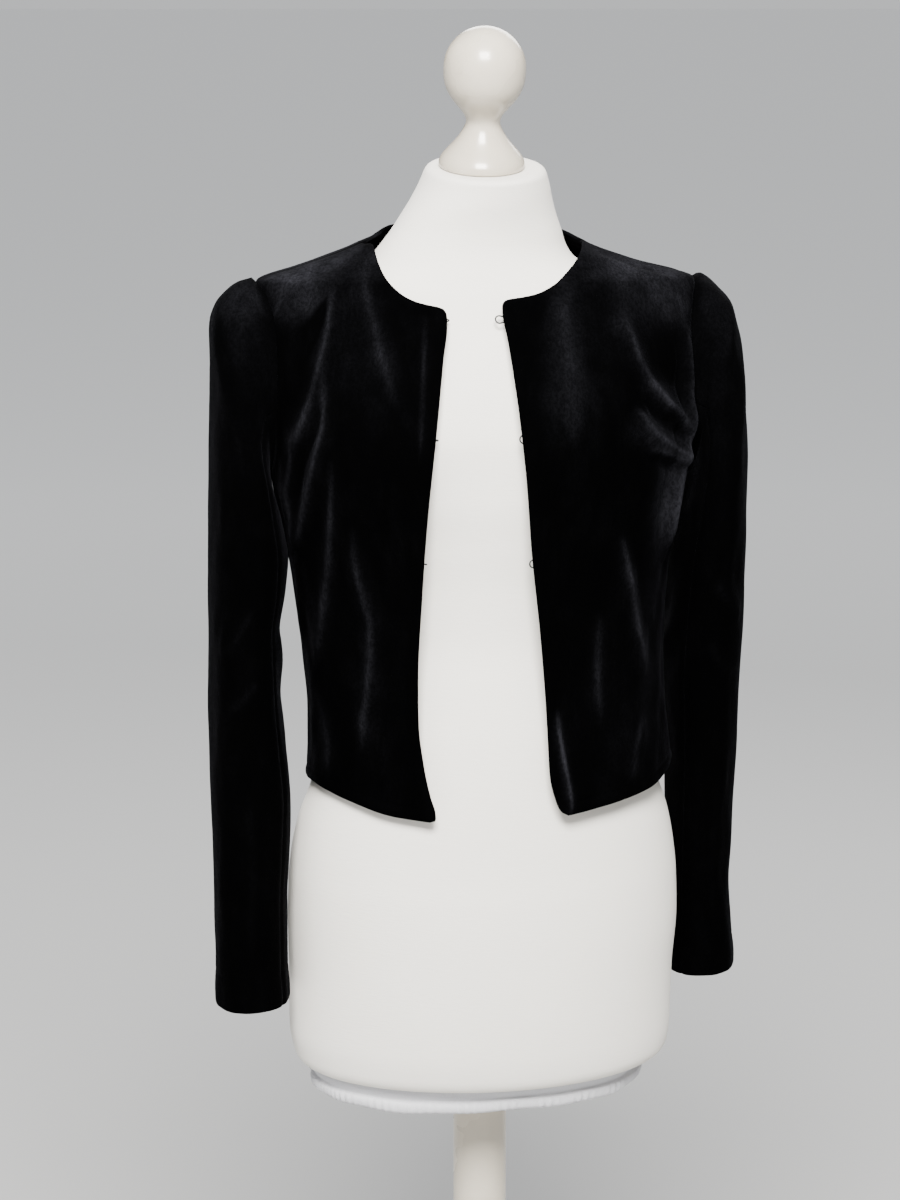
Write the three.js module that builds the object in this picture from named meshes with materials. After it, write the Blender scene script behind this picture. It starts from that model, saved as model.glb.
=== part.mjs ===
// A cropped velvet blazer with an open front, on a limbless dress form with a neck knob, a post and a base.
// Millimetres, +Z up. X runs to the viewer's right and the front faces -Y. Right and left in the names are
// the wearer's own, so the right front is at -X. The origin is the middle of the base's underside.
import * as THREE from "three";
import { mergeVertices } from "three/addons/utils/BufferGeometryUtils.js";

// Driving dimensions
const CLOTH = 2.0; // wall of the folded velvet
const SEAM = 0.3; // gap between two pieces that are sewn together
const SIDE_DEPTH = 105; // depth of the body's half section, at the side seams
const SHOULDER_DEPTH = 60; // and at the shoulder seams
const SEAT = 0.3; // gap between two hard pieces that rest on each other
const SHOULDER_TIP = 1292.5; // height of the shoulder seam's outer end
const NECK_POINT = 1324; // height of the shoulder seam's inner end
const BACK_NECK = 1336; // height of the back neckline
const ARMPIT = 1135; // height of the lowest point of the armhole
const ARM_FRONT = 45; // how far the armhole reaches forward of the shoulder
const ARM_BACK = 54; // how far it reaches back
const FRONT_CORNER = { right: 1275.8, left: 1281.2 }; // height of the top corner of each front

const FORM_BOTTOM = 611;
const NECK_TILT = 0.2; // slope of the neck plate, which falls to the front
const BAND_BOTTOM = 586.5;
const POST_RADIUS = 23.5;
const BASE_RADIUS = 175;
const BASE_HEIGHT = 22;
const BOSS_HEIGHT = 52;
const KNOB_BALL = 33.8;
const KNOB_WAIST = 13.6;
const KNOB_FOOT = 35.6;
const KNOB_ASIDE = 4.2; // how far the knob stands to the viewer's left of the plate's middle
const WIRE = 0.65; // radius of the hook and eye wire
const EYE_RADIUS = 3.3;
const WIRE_GAP = 0.9; // between the wire and the inside of the cloth, which curves away from it

const DEGREE = Math.PI / 180;
const SIDES = { right: -1, left: 1 };

// Sections of the blazer's outer face: half width, middle, and depth to the front and to the back
const COAT = [
  { z: 850, wide: 160.0, mid: 7.5, front: 116, back: 107 },
  { z: 880, wide: 158.5, mid: 7.5, front: 114, back: 103 },
  { z: 910, wide: 156.0, mid: 6.5, front: 112, back: 99 },
  { z: 940, wide: 154.5, mid: 4.8, front: 111, back: 96 },
  { z: 977, wide: 155.5, mid: 2.2, front: 111, back: 95 },
  { z: 1022, wide: 159.0, mid: 0.0, front: 112, back: 98 },
  { z: 1050, wide: 162.0, mid: -1.0, front: 113, back: 101 },
  { z: 1088, wide: 168.0, mid: -2.0, front: 115, back: 105 },
  { z: 1120, wide: 174.5, mid: -2.0, front: 117, back: 108 },
  { z: 1142, wide: 179.0, mid: -2.0, front: 118, back: 110 },
  { z: 1166, wide: 184.0, mid: -2.0, front: 117, back: 111 },
  { z: 1195, wide: 189.0, mid: -2.0, front: 112, back: 112 },
  { z: 1221, wide: 192.5, mid: -2.0, front: 103, back: 112 },
  { z: 1245, wide: 194.0, mid: -2.0, front: 92, back: 110 },
  { z: 1266, wide: 192.5, mid: -2.0, front: 81, back: 105 },
  { z: 1282, wide: 189.0, mid: -2.5, front: 72, back: 97 },
  { z: 1292.5, wide: 184.5, mid: -4.5, front: 66, back: 90 },
  { z: 1304, wide: 148.0, mid: -8.0, front: 60, back: 83 },
  { z: 1311.5, wide: 125.0, mid: -8.5, front: 56.5, back: 78 },
  { z: 1317, wide: 109.0, mid: -8.5, front: 54, back: 74 },
  { z: 1322, wide: 97.0, mid: -8.5, front: 52, back: 70.5 },
  { z: 1326, wide: 88.0, mid: -7.5, front: 51, back: 68 },
  { z: 1332, wide: 79.0, mid: -6.5, front: 50, back: 64.5 },
  { z: 1340, wide: 74.0, mid: -5.5, front: 50, back: 62 },
];

// Sections of the dress form
const FORM = [
  { z: 611, wide: 159, mid: 1.5, front: 102, back: 111 },
  { z: 620, wide: 165, mid: 1.5, front: 107, back: 117 },
  { z: 645, wide: 168.5, mid: 0.5, front: 110.5, back: 121.5 },
  { z: 690, wide: 169, mid: 1, front: 112, back: 124 },
  { z: 740, wide: 171, mid: 2.5, front: 111, back: 125 },
  { z: 775, wide: 170, mid: 2.5, front: 109, back: 121 },
  { z: 800, wide: 167.5, mid: 2.5, front: 106, back: 116 },
  { z: 830, wide: 161.5, mid: 3, front: 103, back: 109 },
  { z: 860, wide: 151, mid: 3.5, front: 100, back: 102 },
  { z: 910, wide: 138, mid: 2.5, front: 95, back: 91 },
  { z: 955, wide: 127, mid: 1, front: 89, back: 83 },
  { z: 1000, wide: 121, mid: 0, front: 84, back: 79 },
  { z: 1040, wide: 124, mid: -1, front: 86, back: 83 },
  { z: 1080, wide: 132, mid: -1.5, front: 92, back: 90 },
  { z: 1120, wide: 141, mid: -2, front: 97, back: 96 },
  { z: 1160, wide: 149, mid: -2, front: 97, back: 101 },
  { z: 1200, wide: 157, mid: -2, front: 91, back: 105 },
  { z: 1235, wide: 165, mid: -2, front: 81, back: 104 },
  { z: 1262, wide: 172, mid: -2, front: 70, back: 98 },
  { z: 1280, wide: 173, mid: -2.5, front: 63, back: 90 },
  { z: 1290, wide: 166, mid: -4.5, front: 59.5, back: 83.5 },
  { z: 1301, wide: 145, mid: -7.5, front: 55, back: 77.5 },
  { z: 1308.5, wide: 122, mid: -8.5, front: 51.5, back: 73 },
  { z: 1314, wide: 106, mid: -8.5, front: 49, back: 69.5 },
  { z: 1319, wide: 93.5, mid: -8, front: 47.5, back: 66 },
  { z: 1325, wide: 81, mid: -6.5, front: 46.8, back: 62.5 },
  { z: 1332, wide: 71.8, mid: -4.8, front: 47, back: 59.5 },
  { z: 1345, wide: 65.2, mid: -2.8, front: 48.5, back: 54.5 },
  { z: 1359, wide: 58.8, mid: -0.2, front: 51, back: 49.5 },
  { z: 1372, wide: 54, mid: 2, front: 52.5, back: 46 },
  { z: 1386, wide: 49, mid: 3, front: 54, back: 43 },
];
const BUST = { x: 76, z: 1172, wide: 50, tall: 58, full: 15 };

// Front edge and neckline of each front, from the hem up to the neck point
const EDGE = {
  right: [
    { z: 852.5, x: -52 },
    { z: 875, x: -57.5 },
    { z: 900, x: -62.5 },
    { z: 935, x: -66.5 },
    { z: 975, x: -67 },
    { z: 1045, x: -64 },
    { z: 1120, x: -59.5 },
    { z: 1180, x: -53.5 },
    { z: 1235, x: -45.5 },
    { z: 1275.8, x: -38.5 },
    { z: 1281.2, x: -70 },
    { z: 1285.7, x: -75.5 },
    { z: 1292.5, x: -82.5 },
    { z: 1300, x: -88.5 },
    { z: 1308, x: -92.5 },
    { z: 1324, x: -93.5 },
  ],
  left: [
    { z: 856, x: 54 },
    { z: 865, x: 47 },
    { z: 890, x: 41.5 },
    { z: 935, x: 39 },
    { z: 980, x: 35.5 },
    { z: 1025, x: 31 },
    { z: 1075, x: 25 },
    { z: 1130, x: 20 },
    { z: 1195, x: 13.5 },
    { z: 1250, x: 8 },
    { z: 1281.2, x: 4 },
    { z: 1285.7, x: 34 },
    { z: 1292.5, x: 50 },
    { z: 1300, x: 60 },
    { z: 1308, x: 69 },
    { z: 1316, x: 76.5 },
    { z: 1324, x: 82.5 },
  ],
};

// Hem height by the angle round the body from the centre front
const HEM = [
  { angle: -180, z: 861 },
  { angle: -110, z: 866 },
  { angle: -78, z: 870 },
  { angle: -55, z: 864 },
  { angle: -35, z: 855.5 },
  { angle: -10, z: 852 },
  { angle: 10, z: 854 },
  { angle: 30, z: 859.5 },
  { angle: 55, z: 866 },
  { angle: 80, z: 875.5 },
  { angle: 100, z: 869 },
  { angle: 140, z: 862 },
  { angle: 180, z: 861 },
];

// Largest folds, as ridges seen from the front (toward -1) or from behind (toward 1)
const FOLDS = [
  { toward: -1, route: [[-134, 1278], [-147, 1231], [-167, 1172], [-172, 1122]], high: 6.5, wide: 11 },
  { toward: -1, route: [[-141, 1213], [-148, 1165], [-158, 1112], [-165, 1084]], high: 4, wide: 9 },
  { toward: -1, route: [[-96, 1300], [-93, 1255], [-87, 1202]], high: 2.5, wide: 12 },
  { toward: -1, route: [[-117, 1108], [-112, 1050], [-104, 1008], [-108, 902]], high: 4, wide: 13 },
  { toward: -1, route: [[-140, 1106], [-142, 1053], [-150, 1000], [-153, 960]], high: 3.5, wide: 10 },
  { toward: -1, route: [[113, 1258], [122, 1234], [145, 1200], [167, 1170]], high: 6, wide: 11 },
  { toward: -1, route: [[116, 1190], [140, 1165], [162, 1146]], high: 4.5, wide: 10 },
  { toward: -1, route: [[110, 1095], [115, 1053], [125, 1003], [132, 955]], high: 3.5, wide: 11 },
  { toward: -1, route: [[83, 1030], [83, 985], [86, 930]], high: 2.5, wide: 14 },
  { toward: 1, route: [[-148, 1245], [-138, 1200], [-118, 1140]], high: 5, wide: 12 },
  { toward: 1, route: [[150, 1240], [136, 1190], [112, 1130]], high: 5, wide: 12 },
  { toward: 1, route: [[-92, 1090], [-78, 1010], [-84, 920]], high: 4, wide: 15 },
  { toward: 1, route: [[88, 1100], [74, 1020], [80, 915]], high: 4, wide: 15 },
  { toward: 1, route: [[-6, 1060], [4, 990], [-2, 900]], high: 3, wide: 18 },
];

// Sections of each sleeve. The first stands in the armhole and the rest swing down to the level cuff: the
// point over the arm (out), the point under the arm (in), the middle in Y and the half depth.
const SLEEVES = {
  right: [
    { outX: -191.5, outZ: 1295.4, inX: -182.6, inZ: 1131, y: 4, deep: 56 },
    { outX: -202, outZ: 1292, inX: -181.6, inZ: 1127, y: 4, deep: 59 },
    { outX: -214, outZ: 1283.5, inX: -180.4, inZ: 1122, y: 3, deep: 62 },
    { outX: -223, outZ: 1272, inX: -179, inZ: 1116, y: 3, deep: 64 },
    { outX: -227, outZ: 1252, inX: -177.6, inZ: 1109, y: 3, deep: 66 },
    { outX: -227.5, outZ: 1224, inX: -176, inZ: 1101, y: 3, deep: 67 },
    { outX: -228.2, outZ: 1188, inX: -174.6, inZ: 1091, y: 4, deep: 67 },
    { outX: -229.5, outZ: 1144, inX: -173, inZ: 1078, y: 4, deep: 66 },
    { outX: -231, outZ: 1096, inX: -171, inZ: 1062, y: 4, deep: 64 },
    { outX: -232, outZ: 1046, inX: -172.5, inZ: 1034, y: 3, deep: 62 },
    { outX: -233, outZ: 998, inX: -173.5, inZ: 996, y: 0, deep: 60 },
    { outX: -234, outZ: 950, inX: -173, inZ: 950, y: -6, deep: 57 },
    { outX: -234.5, outZ: 905, inX: -169.8, inZ: 905, y: -12, deep: 53 },
    { outX: -234.5, outZ: 860, inX: -166.5, inZ: 860, y: -19, deep: 50 },
    { outX: -234, outZ: 815, inX: -169, inZ: 815, y: -25, deep: 47 },
    { outX: -233.5, outZ: 770, inX: -171.7, inZ: 770, y: -30, deep: 44.5 },
    { outX: -233.5, outZ: 722, inX: -172, inZ: 722, y: -34, deep: 42.5 },
    { outX: -234, outZ: 682, inX: -170.8, inZ: 686, y: -37, deep: 41 },
  ],
  left: [
    { outX: 187, outZ: 1294.5, inX: 178.8, inZ: 1131, y: 4, deep: 56 },
    { outX: 193, outZ: 1291, inX: 177.8, inZ: 1127, y: 5, deep: 59 },
    { outX: 202, outZ: 1283, inX: 176.8, inZ: 1122, y: 6, deep: 62 },
    { outX: 211.5, outZ: 1272, inX: 175.6, inZ: 1116, y: 6, deep: 64 },
    { outX: 216.5, outZ: 1249, inX: 174.4, inZ: 1109, y: 7, deep: 66 },
    { outX: 221.5, outZ: 1222, inX: 173, inZ: 1101, y: 8, deep: 67 },
    { outX: 225.5, outZ: 1186, inX: 171.6, inZ: 1091, y: 9, deep: 67 },
    { outX: 227.5, outZ: 1142, inX: 171, inZ: 1078, y: 10, deep: 66 },
    { outX: 227.6, outZ: 1095, inX: 171, inZ: 1062, y: 11, deep: 64 },
    { outX: 227.6, outZ: 1046, inX: 171.6, inZ: 1034, y: 13, deep: 62 },
    { outX: 228.2, outZ: 998, inX: 172.2, inZ: 996, y: 15, deep: 60 },
    { outX: 227.3, outZ: 950, inX: 172.2, inZ: 950, y: 18, deep: 57 },
    { outX: 227, outZ: 905, inX: 171.5, inZ: 905, y: 20, deep: 53 },
    { outX: 226.5, outZ: 860, inX: 171, inZ: 860, y: 23, deep: 50 },
    { outX: 225.6, outZ: 815, inX: 171, inZ: 815, y: 25, deep: 47 },
    { outX: 225.5, outZ: 770, inX: 171.5, inZ: 770, y: 27, deep: 44.5 },
    { outX: 229.3, outZ: 722, inX: 172, inZ: 722, y: 28, deep: 42.5 },
    { outX: 233.4, outZ: 676, inX: 173, inZ: 672, y: 29, deep: 41 },
  ],
};

// Round the sleeve in degrees: 0 over the arm, 90 at the front, 180 under the arm, 270 at the back
const ROUND = [0, 14, 24, 31, 38, 48, 60, 75, 90, 106, 122, 138, 153, 167, 180];
const FRONT_SEAM = { top: 106, bottom: 138 }; // where the forearm seam starts and ends
const BACK_SEAM = { top: 254, bottom: 238 }; // where the elbow seam starts and ends
const SEAM_ROWS = 12; // rows along which these seams swing under the arm
const SLEEVE_RADIUS = 40;
const SLEEVE_CURVE = 0.9; // how full a sleeve's section is, 1 for a plain oval

// Fastenings along the front edges: height, and how far each stands past its edge
const FASTENINGS = [
  { z: 1268, eyeOut: 2.6, hookOut: 1.0 },
  { z: 1174, eyeOut: 0.2, hookOut: 1.2 },
  { z: 1070, eyeOut: 0.6, hookOut: 0.4 },
];

// One column of a table at a given place, on a smooth curve through its rows
function smooth(rows, key, name, at) {
  const last = rows.length - 1;
  if (at <= rows[0][key]) return rows[0][name];
  if (at >= rows[last][key]) return rows[last][name];
  let i = 0;
  while (rows[i + 1][key] < at) i += 1;
  const slope = (a, b) => (rows[b][name] - rows[a][name]) / (rows[b][key] - rows[a][key]);
  const step = rows[i + 1][key] - rows[i][key];
  const here = slope(i, i + 1);
  const before = i > 0 ? slope(i - 1, i) : here;
  const after = i + 1 < last ? slope(i + 1, i + 2) : here;
  const blend = (a, b) => (a * b <= 0 ? 0 : (2 * a * b) / (a + b));
  const f = (at - rows[i][key]) / step;
  const start = blend(before, here) * step;
  const end = blend(here, after) * step;
  const low = rows[i][name];
  const high = rows[i + 1][name];
  return (
    low * (1 + 2 * f) * (1 - f) ** 2 +
    start * f * (1 - f) ** 2 +
    high * f * f * (3 - 2 * f) +
    end * f * f * (f - 1)
  );
}

function between(rows, key, name, at) {
  const i = Math.max(1, rows.findIndex((row) => row[key] >= at));
  const low = rows[i - 1];
  const high = rows[i];
  const f = Math.min(1, Math.max(0, (at - low[key]) / (high[key] - low[key])));
  return low[name] + (high[name] - low[name]) * f;
}

// A point of an oval section, by the angle from the centre front (0) to the viewer's right (90)
function oval(angle, z, half, mid, front, back) {
  const x = mid + half * Math.sin(angle);
  const y = -Math.cos(angle) * (Math.cos(angle) >= 0 ? front : back);
  return new THREE.Vector3(x, y, z);
}

function bustSwell(x, z, full) {
  const across = (Math.abs(x) - BUST.x) / BUST.wide;
  const up = (z - BUST.z) / BUST.tall;
  return full * Math.exp(-across * across - up * up);
}

// How far the folds push the cloth out at a place seen from the front or from behind
function foldHeight(x, z, toward) {
  let height = 0;
  for (const fold of FOLDS) {
    if (fold.toward !== toward) continue;
    let nearest = Infinity;
    let along = 0;
    const spans = fold.route.length - 1;
    for (let i = 0; i < spans; i += 1) {
      const [ax, az] = fold.route[i];
      const [bx, bz] = fold.route[i + 1];
      const length2 = (bx - ax) ** 2 + (bz - az) ** 2;
      const f = Math.min(1, Math.max(0, ((x - ax) * (bx - ax) + (z - az) * (bz - az)) / length2));
      const distance = Math.hypot(x - ax - (bx - ax) * f, z - az - (bz - az) * f);
      if (distance < nearest) {
        nearest = distance;
        along = (i + f) / spans;
      }
    }
    const ends = Math.sin(Math.PI * (0.12 + 0.76 * along));
    height += fold.high * ends * Math.exp(-((nearest / fold.wide) ** 2));
  }
  return height;
}

// Outer face of the blazer's body
function coatPoint(angle, z) {
  const row = (name) => smooth(COAT, "z", name, z);
  const point = oval(angle, z, row("wide"), row("mid"), row("front"), row("back"));
  const facing = Math.cos(angle);
  const toward = facing > 0 ? -1 : 1;
  const swell = toward < 0 ? bustSwell(point.x, z, 5) : 0;
  const sideFade = Math.min(1, Math.abs(facing) * 3.2);
  point.y += toward * (swell + foldHeight(point.x, z, toward)) * sideFade;
  return point;
}

function formPoint(angle, z) {
  const row = (name) => smooth(FORM, "z", name, z);
  const point = oval(angle, z, row("wide"), row("mid"), row("front"), row("back"));
  if (Math.cos(angle) > 0) point.y -= bustSwell(point.x, z, BUST.full) * Math.min(1, Math.cos(angle) * 2);
  const tilt = Math.max(0, (z - NECK_POINT) / (FORM[FORM.length - 1].z - NECK_POINT)) ** 1.5;
  point.z += NECK_TILT * tilt * point.y;
  return point;
}

// A closed solid from a grid of points that wraps round (ring) or has four edges (cloth)
function solid(name, positions, triangles, material) {
  const geometry = new THREE.BufferGeometry();
  const numbers = positions.flatMap((point) => point.toArray());
  geometry.setAttribute("position", new THREE.Float32BufferAttribute(numbers, 3));
  geometry.setIndex(triangles);
  const merged = mergeVertices(geometry, 1e-4);
  merged.computeVertexNormals();
  const mesh = new THREE.Mesh(merged, material);
  mesh.name = name;
  return mesh;
}

// A cloth piece between an outer face, given by a function of two values, and a face one wall further in.
// The grid holds the two values of each point, and turn is -1 where the face would come out inside out.
function clothPiece(name, pointAt, grid, material, turn = 1) {
  const rows = grid.length;
  const columns = grid[0].length;
  const outer = [];
  const inner = [];
  const small = 0.002;
  for (const row of grid) {
    for (const [a, b] of row) {
      const here = pointAt(a, b);
      const alongA = pointAt(a + small, b).sub(pointAt(a - small, b));
      const alongB = pointAt(a, b + small * 100).sub(pointAt(a, b - small * 100));
      const normal = alongA.cross(alongB).normalize().multiplyScalar(turn);
      outer.push(here);
      inner.push(here.clone().addScaledVector(normal, -CLOTH));
    }
  }
  const all = [...outer, ...inner];
  const count = rows * columns;
  const triangles = [];
  const quad = (a, b, c, d) => {
    if (turn > 0) triangles.push(a, b, c, a, c, d);
    else triangles.push(a, c, b, a, d, c);
  };
  const at = (j, i) => j * columns + i;
  for (let j = 0; j < rows - 1; j += 1) {
    for (let i = 0; i < columns - 1; i += 1) {
      quad(at(j, i), at(j, i + 1), at(j + 1, i + 1), at(j + 1, i));
      quad(count + at(j, i), count + at(j + 1, i), count + at(j + 1, i + 1), count + at(j, i + 1));
    }
  }
  const rim = [];
  for (let i = 0; i < columns - 1; i += 1) rim.push(at(0, i));
  for (let j = 0; j < rows - 1; j += 1) rim.push(at(j, columns - 1));
  for (let i = columns - 1; i > 0; i -= 1) rim.push(at(rows - 1, i));
  for (let j = rows - 1; j > 0; j -= 1) rim.push(at(j, 0));
  rim.forEach((point, k) => {
    const next = rim[(k + 1) % rim.length];
    quad(point, count + point, count + next, next);
  });
  return solid(name, all, triangles, material);
}

// Armhole curve of one side: height by the place round the sleeve, and how far it lies from the shoulder line
function armhole(place) {
  const turn = place * DEGREE;
  const middle = (SHOULDER_TIP + ARMPIT) / 2;
  const z = middle + ((SHOULDER_TIP - ARMPIT) / 2) * Math.cos(turn);
  const reach = Math.sin(turn);
  return { z, y: reach >= 0 ? -ARM_FRONT * reach : -ARM_BACK * reach };
}

// Angle on the blazer's body of the armhole edge, on one side and toward the front or the back
function armholeAngle(side, y, z) {
  const depth = smooth(COAT, "z", y <= 0 ? "front" : "back", z);
  return side * Math.acos(-y / depth);
}

function edgeAngle(side, z) {
  const rows = EDGE[side];
  const x = z >= FRONT_CORNER[side] ? between(rows, "z", "x", z) : smooth(rows, "z", "x", z);
  const half = smooth(COAT, "z", "wide", z);
  return Math.asin((x - smooth(COAT, "z", "mid", z)) / half);
}

const LOW_ROWS = [0, 0.035, 0.1, 0.18, 0.27, 0.36, 0.45, 0.54, 0.63, 0.72, 0.8, 0.88, 0.94];
const TOP_ROWS = [0.25, 0.5, 0.75, 1];

// A front, from its open edge and neckline to the side seam, the armhole and the shoulder seam
function frontPiece(side, material) {
  const sign = SIDES[side];
  const seamAngle = sign * (90 * DEGREE - SEAM / 2 / SIDE_DEPTH);
  const columns = 12;
  const grid = [];
  const addRow = (heightAt, from, to) => {
    const row = [];
    for (let i = 0; i <= columns; i += 1) {
      const angle = from + (to - from) * (i / columns);
      row.push([angle, heightAt(angle)]);
    }
    grid.push(sign > 0 ? row : row.reverse());
  };
  for (const f of LOW_ROWS) {
    const heightAt = (angle) => {
      const hem = smooth(HEM, "angle", "z", angle / DEGREE);
      return hem + (ARMPIT - hem) * f;
    };
    addRow(heightAt, edgeAngle(side, heightAt(0.35 * sign)), seamAngle);
  }
  for (const place of [...ROUND].reverse()) {
    const { z, y } = armhole(place);
    const to = y > -1 ? seamAngle : armholeAngle(sign, y - SEAM / 2, z);
    addRow(() => z, edgeAngle(side, z), to);
  }
  for (const f of TOP_ROWS) {
    const z = SHOULDER_TIP + (NECK_POINT - SHOULDER_TIP) * f;
    addRow(() => z, edgeAngle(side, z), sign * (90 * DEGREE - SEAM / 2 / SHOULDER_DEPTH));
  }
  return clothPiece(`front_${side}`, coatPoint, grid, material);
}

// The back, from side seam to side seam, cut in one piece
function backPiece(material) {
  const columns = 22;
  const grid = [];
  const addRow = (heightAt, from, to) => {
    const row = [];
    for (let i = 0; i <= columns; i += 1) {
      const angle = from + (to - from) * (i / columns);
      row.push([angle, heightAt(angle)]);
    }
    grid.push(row);
  };
  const seamAngle = 90 * DEGREE + SEAM / 2 / SIDE_DEPTH;
  for (const f of LOW_ROWS) {
    const heightAt = (angle) => {
      const degrees = angle / DEGREE;
      const hem = smooth(HEM, "angle", "z", degrees > 180 ? degrees - 360 : degrees);
      return hem + (ARMPIT - hem) * f;
    };
    addRow(heightAt, seamAngle, 360 * DEGREE - seamAngle);
  }
  for (const place of [...ROUND].reverse()) {
    const { z, y } = armhole(360 - place);
    const from = y < 1 ? seamAngle : armholeAngle(1, y + SEAM / 2, z);
    addRow(() => z, from, 360 * DEGREE - from);
  }
  const shoulderAngle = 90 * DEGREE + SEAM / 2 / SHOULDER_DEPTH;
  for (const f of TOP_ROWS) {
    const heightAt = (angle) => {
      const rise = Math.min(1, Math.min(angle - 90 * DEGREE, 270 * DEGREE - angle) / (34 * DEGREE));
      const top = NECK_POINT + (BACK_NECK - NECK_POINT) * Math.max(0, rise) * (2 - Math.max(0, rise));
      return SHOULDER_TIP + (top - SHOULDER_TIP) * f;
    };
    addRow(heightAt, shoulderAngle, 360 * DEGREE - shoulderAngle);
  }
  return clothPiece("back", coatPoint, grid, material);
}

// Outer face of one sleeve, by the place round it in degrees and the row along it
function sleevePoint(side, place, along) {
  const sign = SIDES[side];
  const { z, y } = armhole(place);
  const rows = SLEEVES[side].map((row, k) => ({ ...row, k: k + 1 }));
  const at = Math.max(1, along);
  const row = (name) => smooth(rows, "k", name, at);
  const turn = place * DEGREE;
  const up = Math.cos(turn);
  const forward = Math.sin(turn);
  const fuller = (value) => Math.sign(value) * Math.abs(value) ** SLEEVE_CURVE;
  const ring = new THREE.Vector3(
    (row("outX") + row("inX")) / 2 + ((row("outX") - row("inX")) / 2) * fuller(up),
    row("y") - row("deep") * fuller(forward),
    (row("outZ") + row("inZ")) / 2 + ((row("outZ") - row("inZ")) / 2) * up,
  );
  if (along >= 1) return ring;
  const start = coatPoint(armholeAngle(sign, y, z), z);
  start.x += sign * (SEAM + 0.1);
  return start.lerp(ring, along);
}

function sleevePiece(name, side, isTop, material) {
  const around = [...ROUND, ...[...ROUND].reverse().slice(1).map((place) => 360 - place)];
  const frontAt = ROUND.indexOf(FRONT_SEAM.top);
  const backAt = around.length - 1 - frontAt;
  const grid = [];
  for (let k = 0; k <= SLEEVES[side].length; k += 1) {
    const f = Math.min(1, k / SEAM_ROWS);
    const gap = SEAM / 2 / SLEEVE_RADIUS / DEGREE;
    const front = FRONT_SEAM.top + (FRONT_SEAM.bottom - FRONT_SEAM.top) * f;
    const back = BACK_SEAM.top + (BACK_SEAM.bottom - BACK_SEAM.top) * f;
    const row = [];
    if (isTop) {
      const behind = (back + gap - 360) / (BACK_SEAM.top - 360);
      const ahead = (front - gap) / FRONT_SEAM.top;
      for (let i = backAt; i < around.length - 1; i += 1) row.push([(around[i] - 360) * behind, k]);
      for (let i = 0; i <= frontAt; i += 1) row.push([around[i] * ahead, k]);
    } else {
      for (let i = frontAt; i <= backAt; i += 1) {
        const share = (around[i] - FRONT_SEAM.top) / (BACK_SEAM.top - FRONT_SEAM.top);
        row.push([front + gap + (back - front - 2 * gap) * share, k]);
      }
    }
    grid.push(row);
  }
  return clothPiece(name, (place, along) => sleevePoint(side, place, along), grid, material, SIDES[side]);
}

// A closed solid of revolution from a profile of [radius, height] pairs that starts and ends on the axis
function turned(name, profile, segments, material) {
  const points = profile.map(([radius, height]) => new THREE.Vector2(radius, height));
  const lathe = new THREE.LatheGeometry(points, segments);
  lathe.deleteAttribute("normal");
  lathe.deleteAttribute("uv");
  const geometry = mergeVertices(lathe, 1e-4);
  geometry.rotateX(Math.PI / 2);
  geometry.computeVertexNormals();
  const mesh = new THREE.Mesh(geometry, material);
  mesh.name = name;
  return mesh;
}

// Middle of the neck plate, which leans forward
function plateCentre() {
  const plate = FORM[FORM.length - 1];
  const y = (plate.back - plate.front) / 2;
  return new THREE.Vector3(plate.mid, y, plate.z + NECK_TILT * y);
}

function formBody(material) {
  const around = 32;
  const heights = FORM.map((row) => row.z);
  const points = [];
  const triangles = [];
  for (const z of heights) {
    for (let i = 0; i < around; i += 1) points.push(formPoint((i / around) * 2 * Math.PI, z));
  }
  for (let j = 0; j < heights.length - 1; j += 1) {
    for (let i = 0; i < around; i += 1) {
      const next = (i + 1) % around;
      const [a, b, c, d] = [j * around + i, j * around + next, (j + 1) * around + next, (j + 1) * around + i];
      triangles.push(a, b, c, a, c, d);
    }
  }
  const last = (heights.length - 1) * around;
  const bottom = points.push(new THREE.Vector3(FORM[0].mid, 4, FORM_BOTTOM)) - 1;
  const top = points.push(plateCentre()) - 1;
  for (let i = 0; i < around; i += 1) {
    const next = (i + 1) % around;
    triangles.push(bottom, next, i, top, last + i, last + next);
  }
  return solid("form_body", points, triangles, material);
}

// The cover's gathered lower edge, a band that hangs under the torso and rolls in a little
function hemBand(material) {
  const around = 36;
  const thick = 5;
  const section = [
    { z: FORM_BOTTOM - SEAT, inset: 4 },
    { z: FORM_BOTTOM - 9, inset: 5 },
    { z: BAND_BOTTOM + 4, inset: 8 },
    { z: BAND_BOTTOM, inset: 11 },
    { z: BAND_BOTTOM, inset: 11 + thick },
    { z: FORM_BOTTOM - 9, inset: 6 + thick },
    { z: FORM_BOTTOM - SEAT, inset: 5 + thick },
  ];
  const points = [];
  const triangles = [];
  for (let i = 0; i < around; i += 1) {
    const angle = (i / around) * 2 * Math.PI;
    for (const { z, inset } of section) {
      const { wide, mid, front, back } = FORM[0];
      points.push(oval(angle, z, wide - inset, mid, front - inset, back - inset));
    }
  }
  const n = section.length;
  for (let i = 0; i < around; i += 1) {
    const next = (i + 1) % around;
    for (let j = 0; j < n; j += 1) {
      const above = (j + 1) % n;
      const [a, b, c, d] = [i * n + j, next * n + j, next * n + above, i * n + above];
      triangles.push(a, c, b, a, d, c);
    }
  }
  return solid("form_hem_band", points, triangles, material);
}

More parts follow.
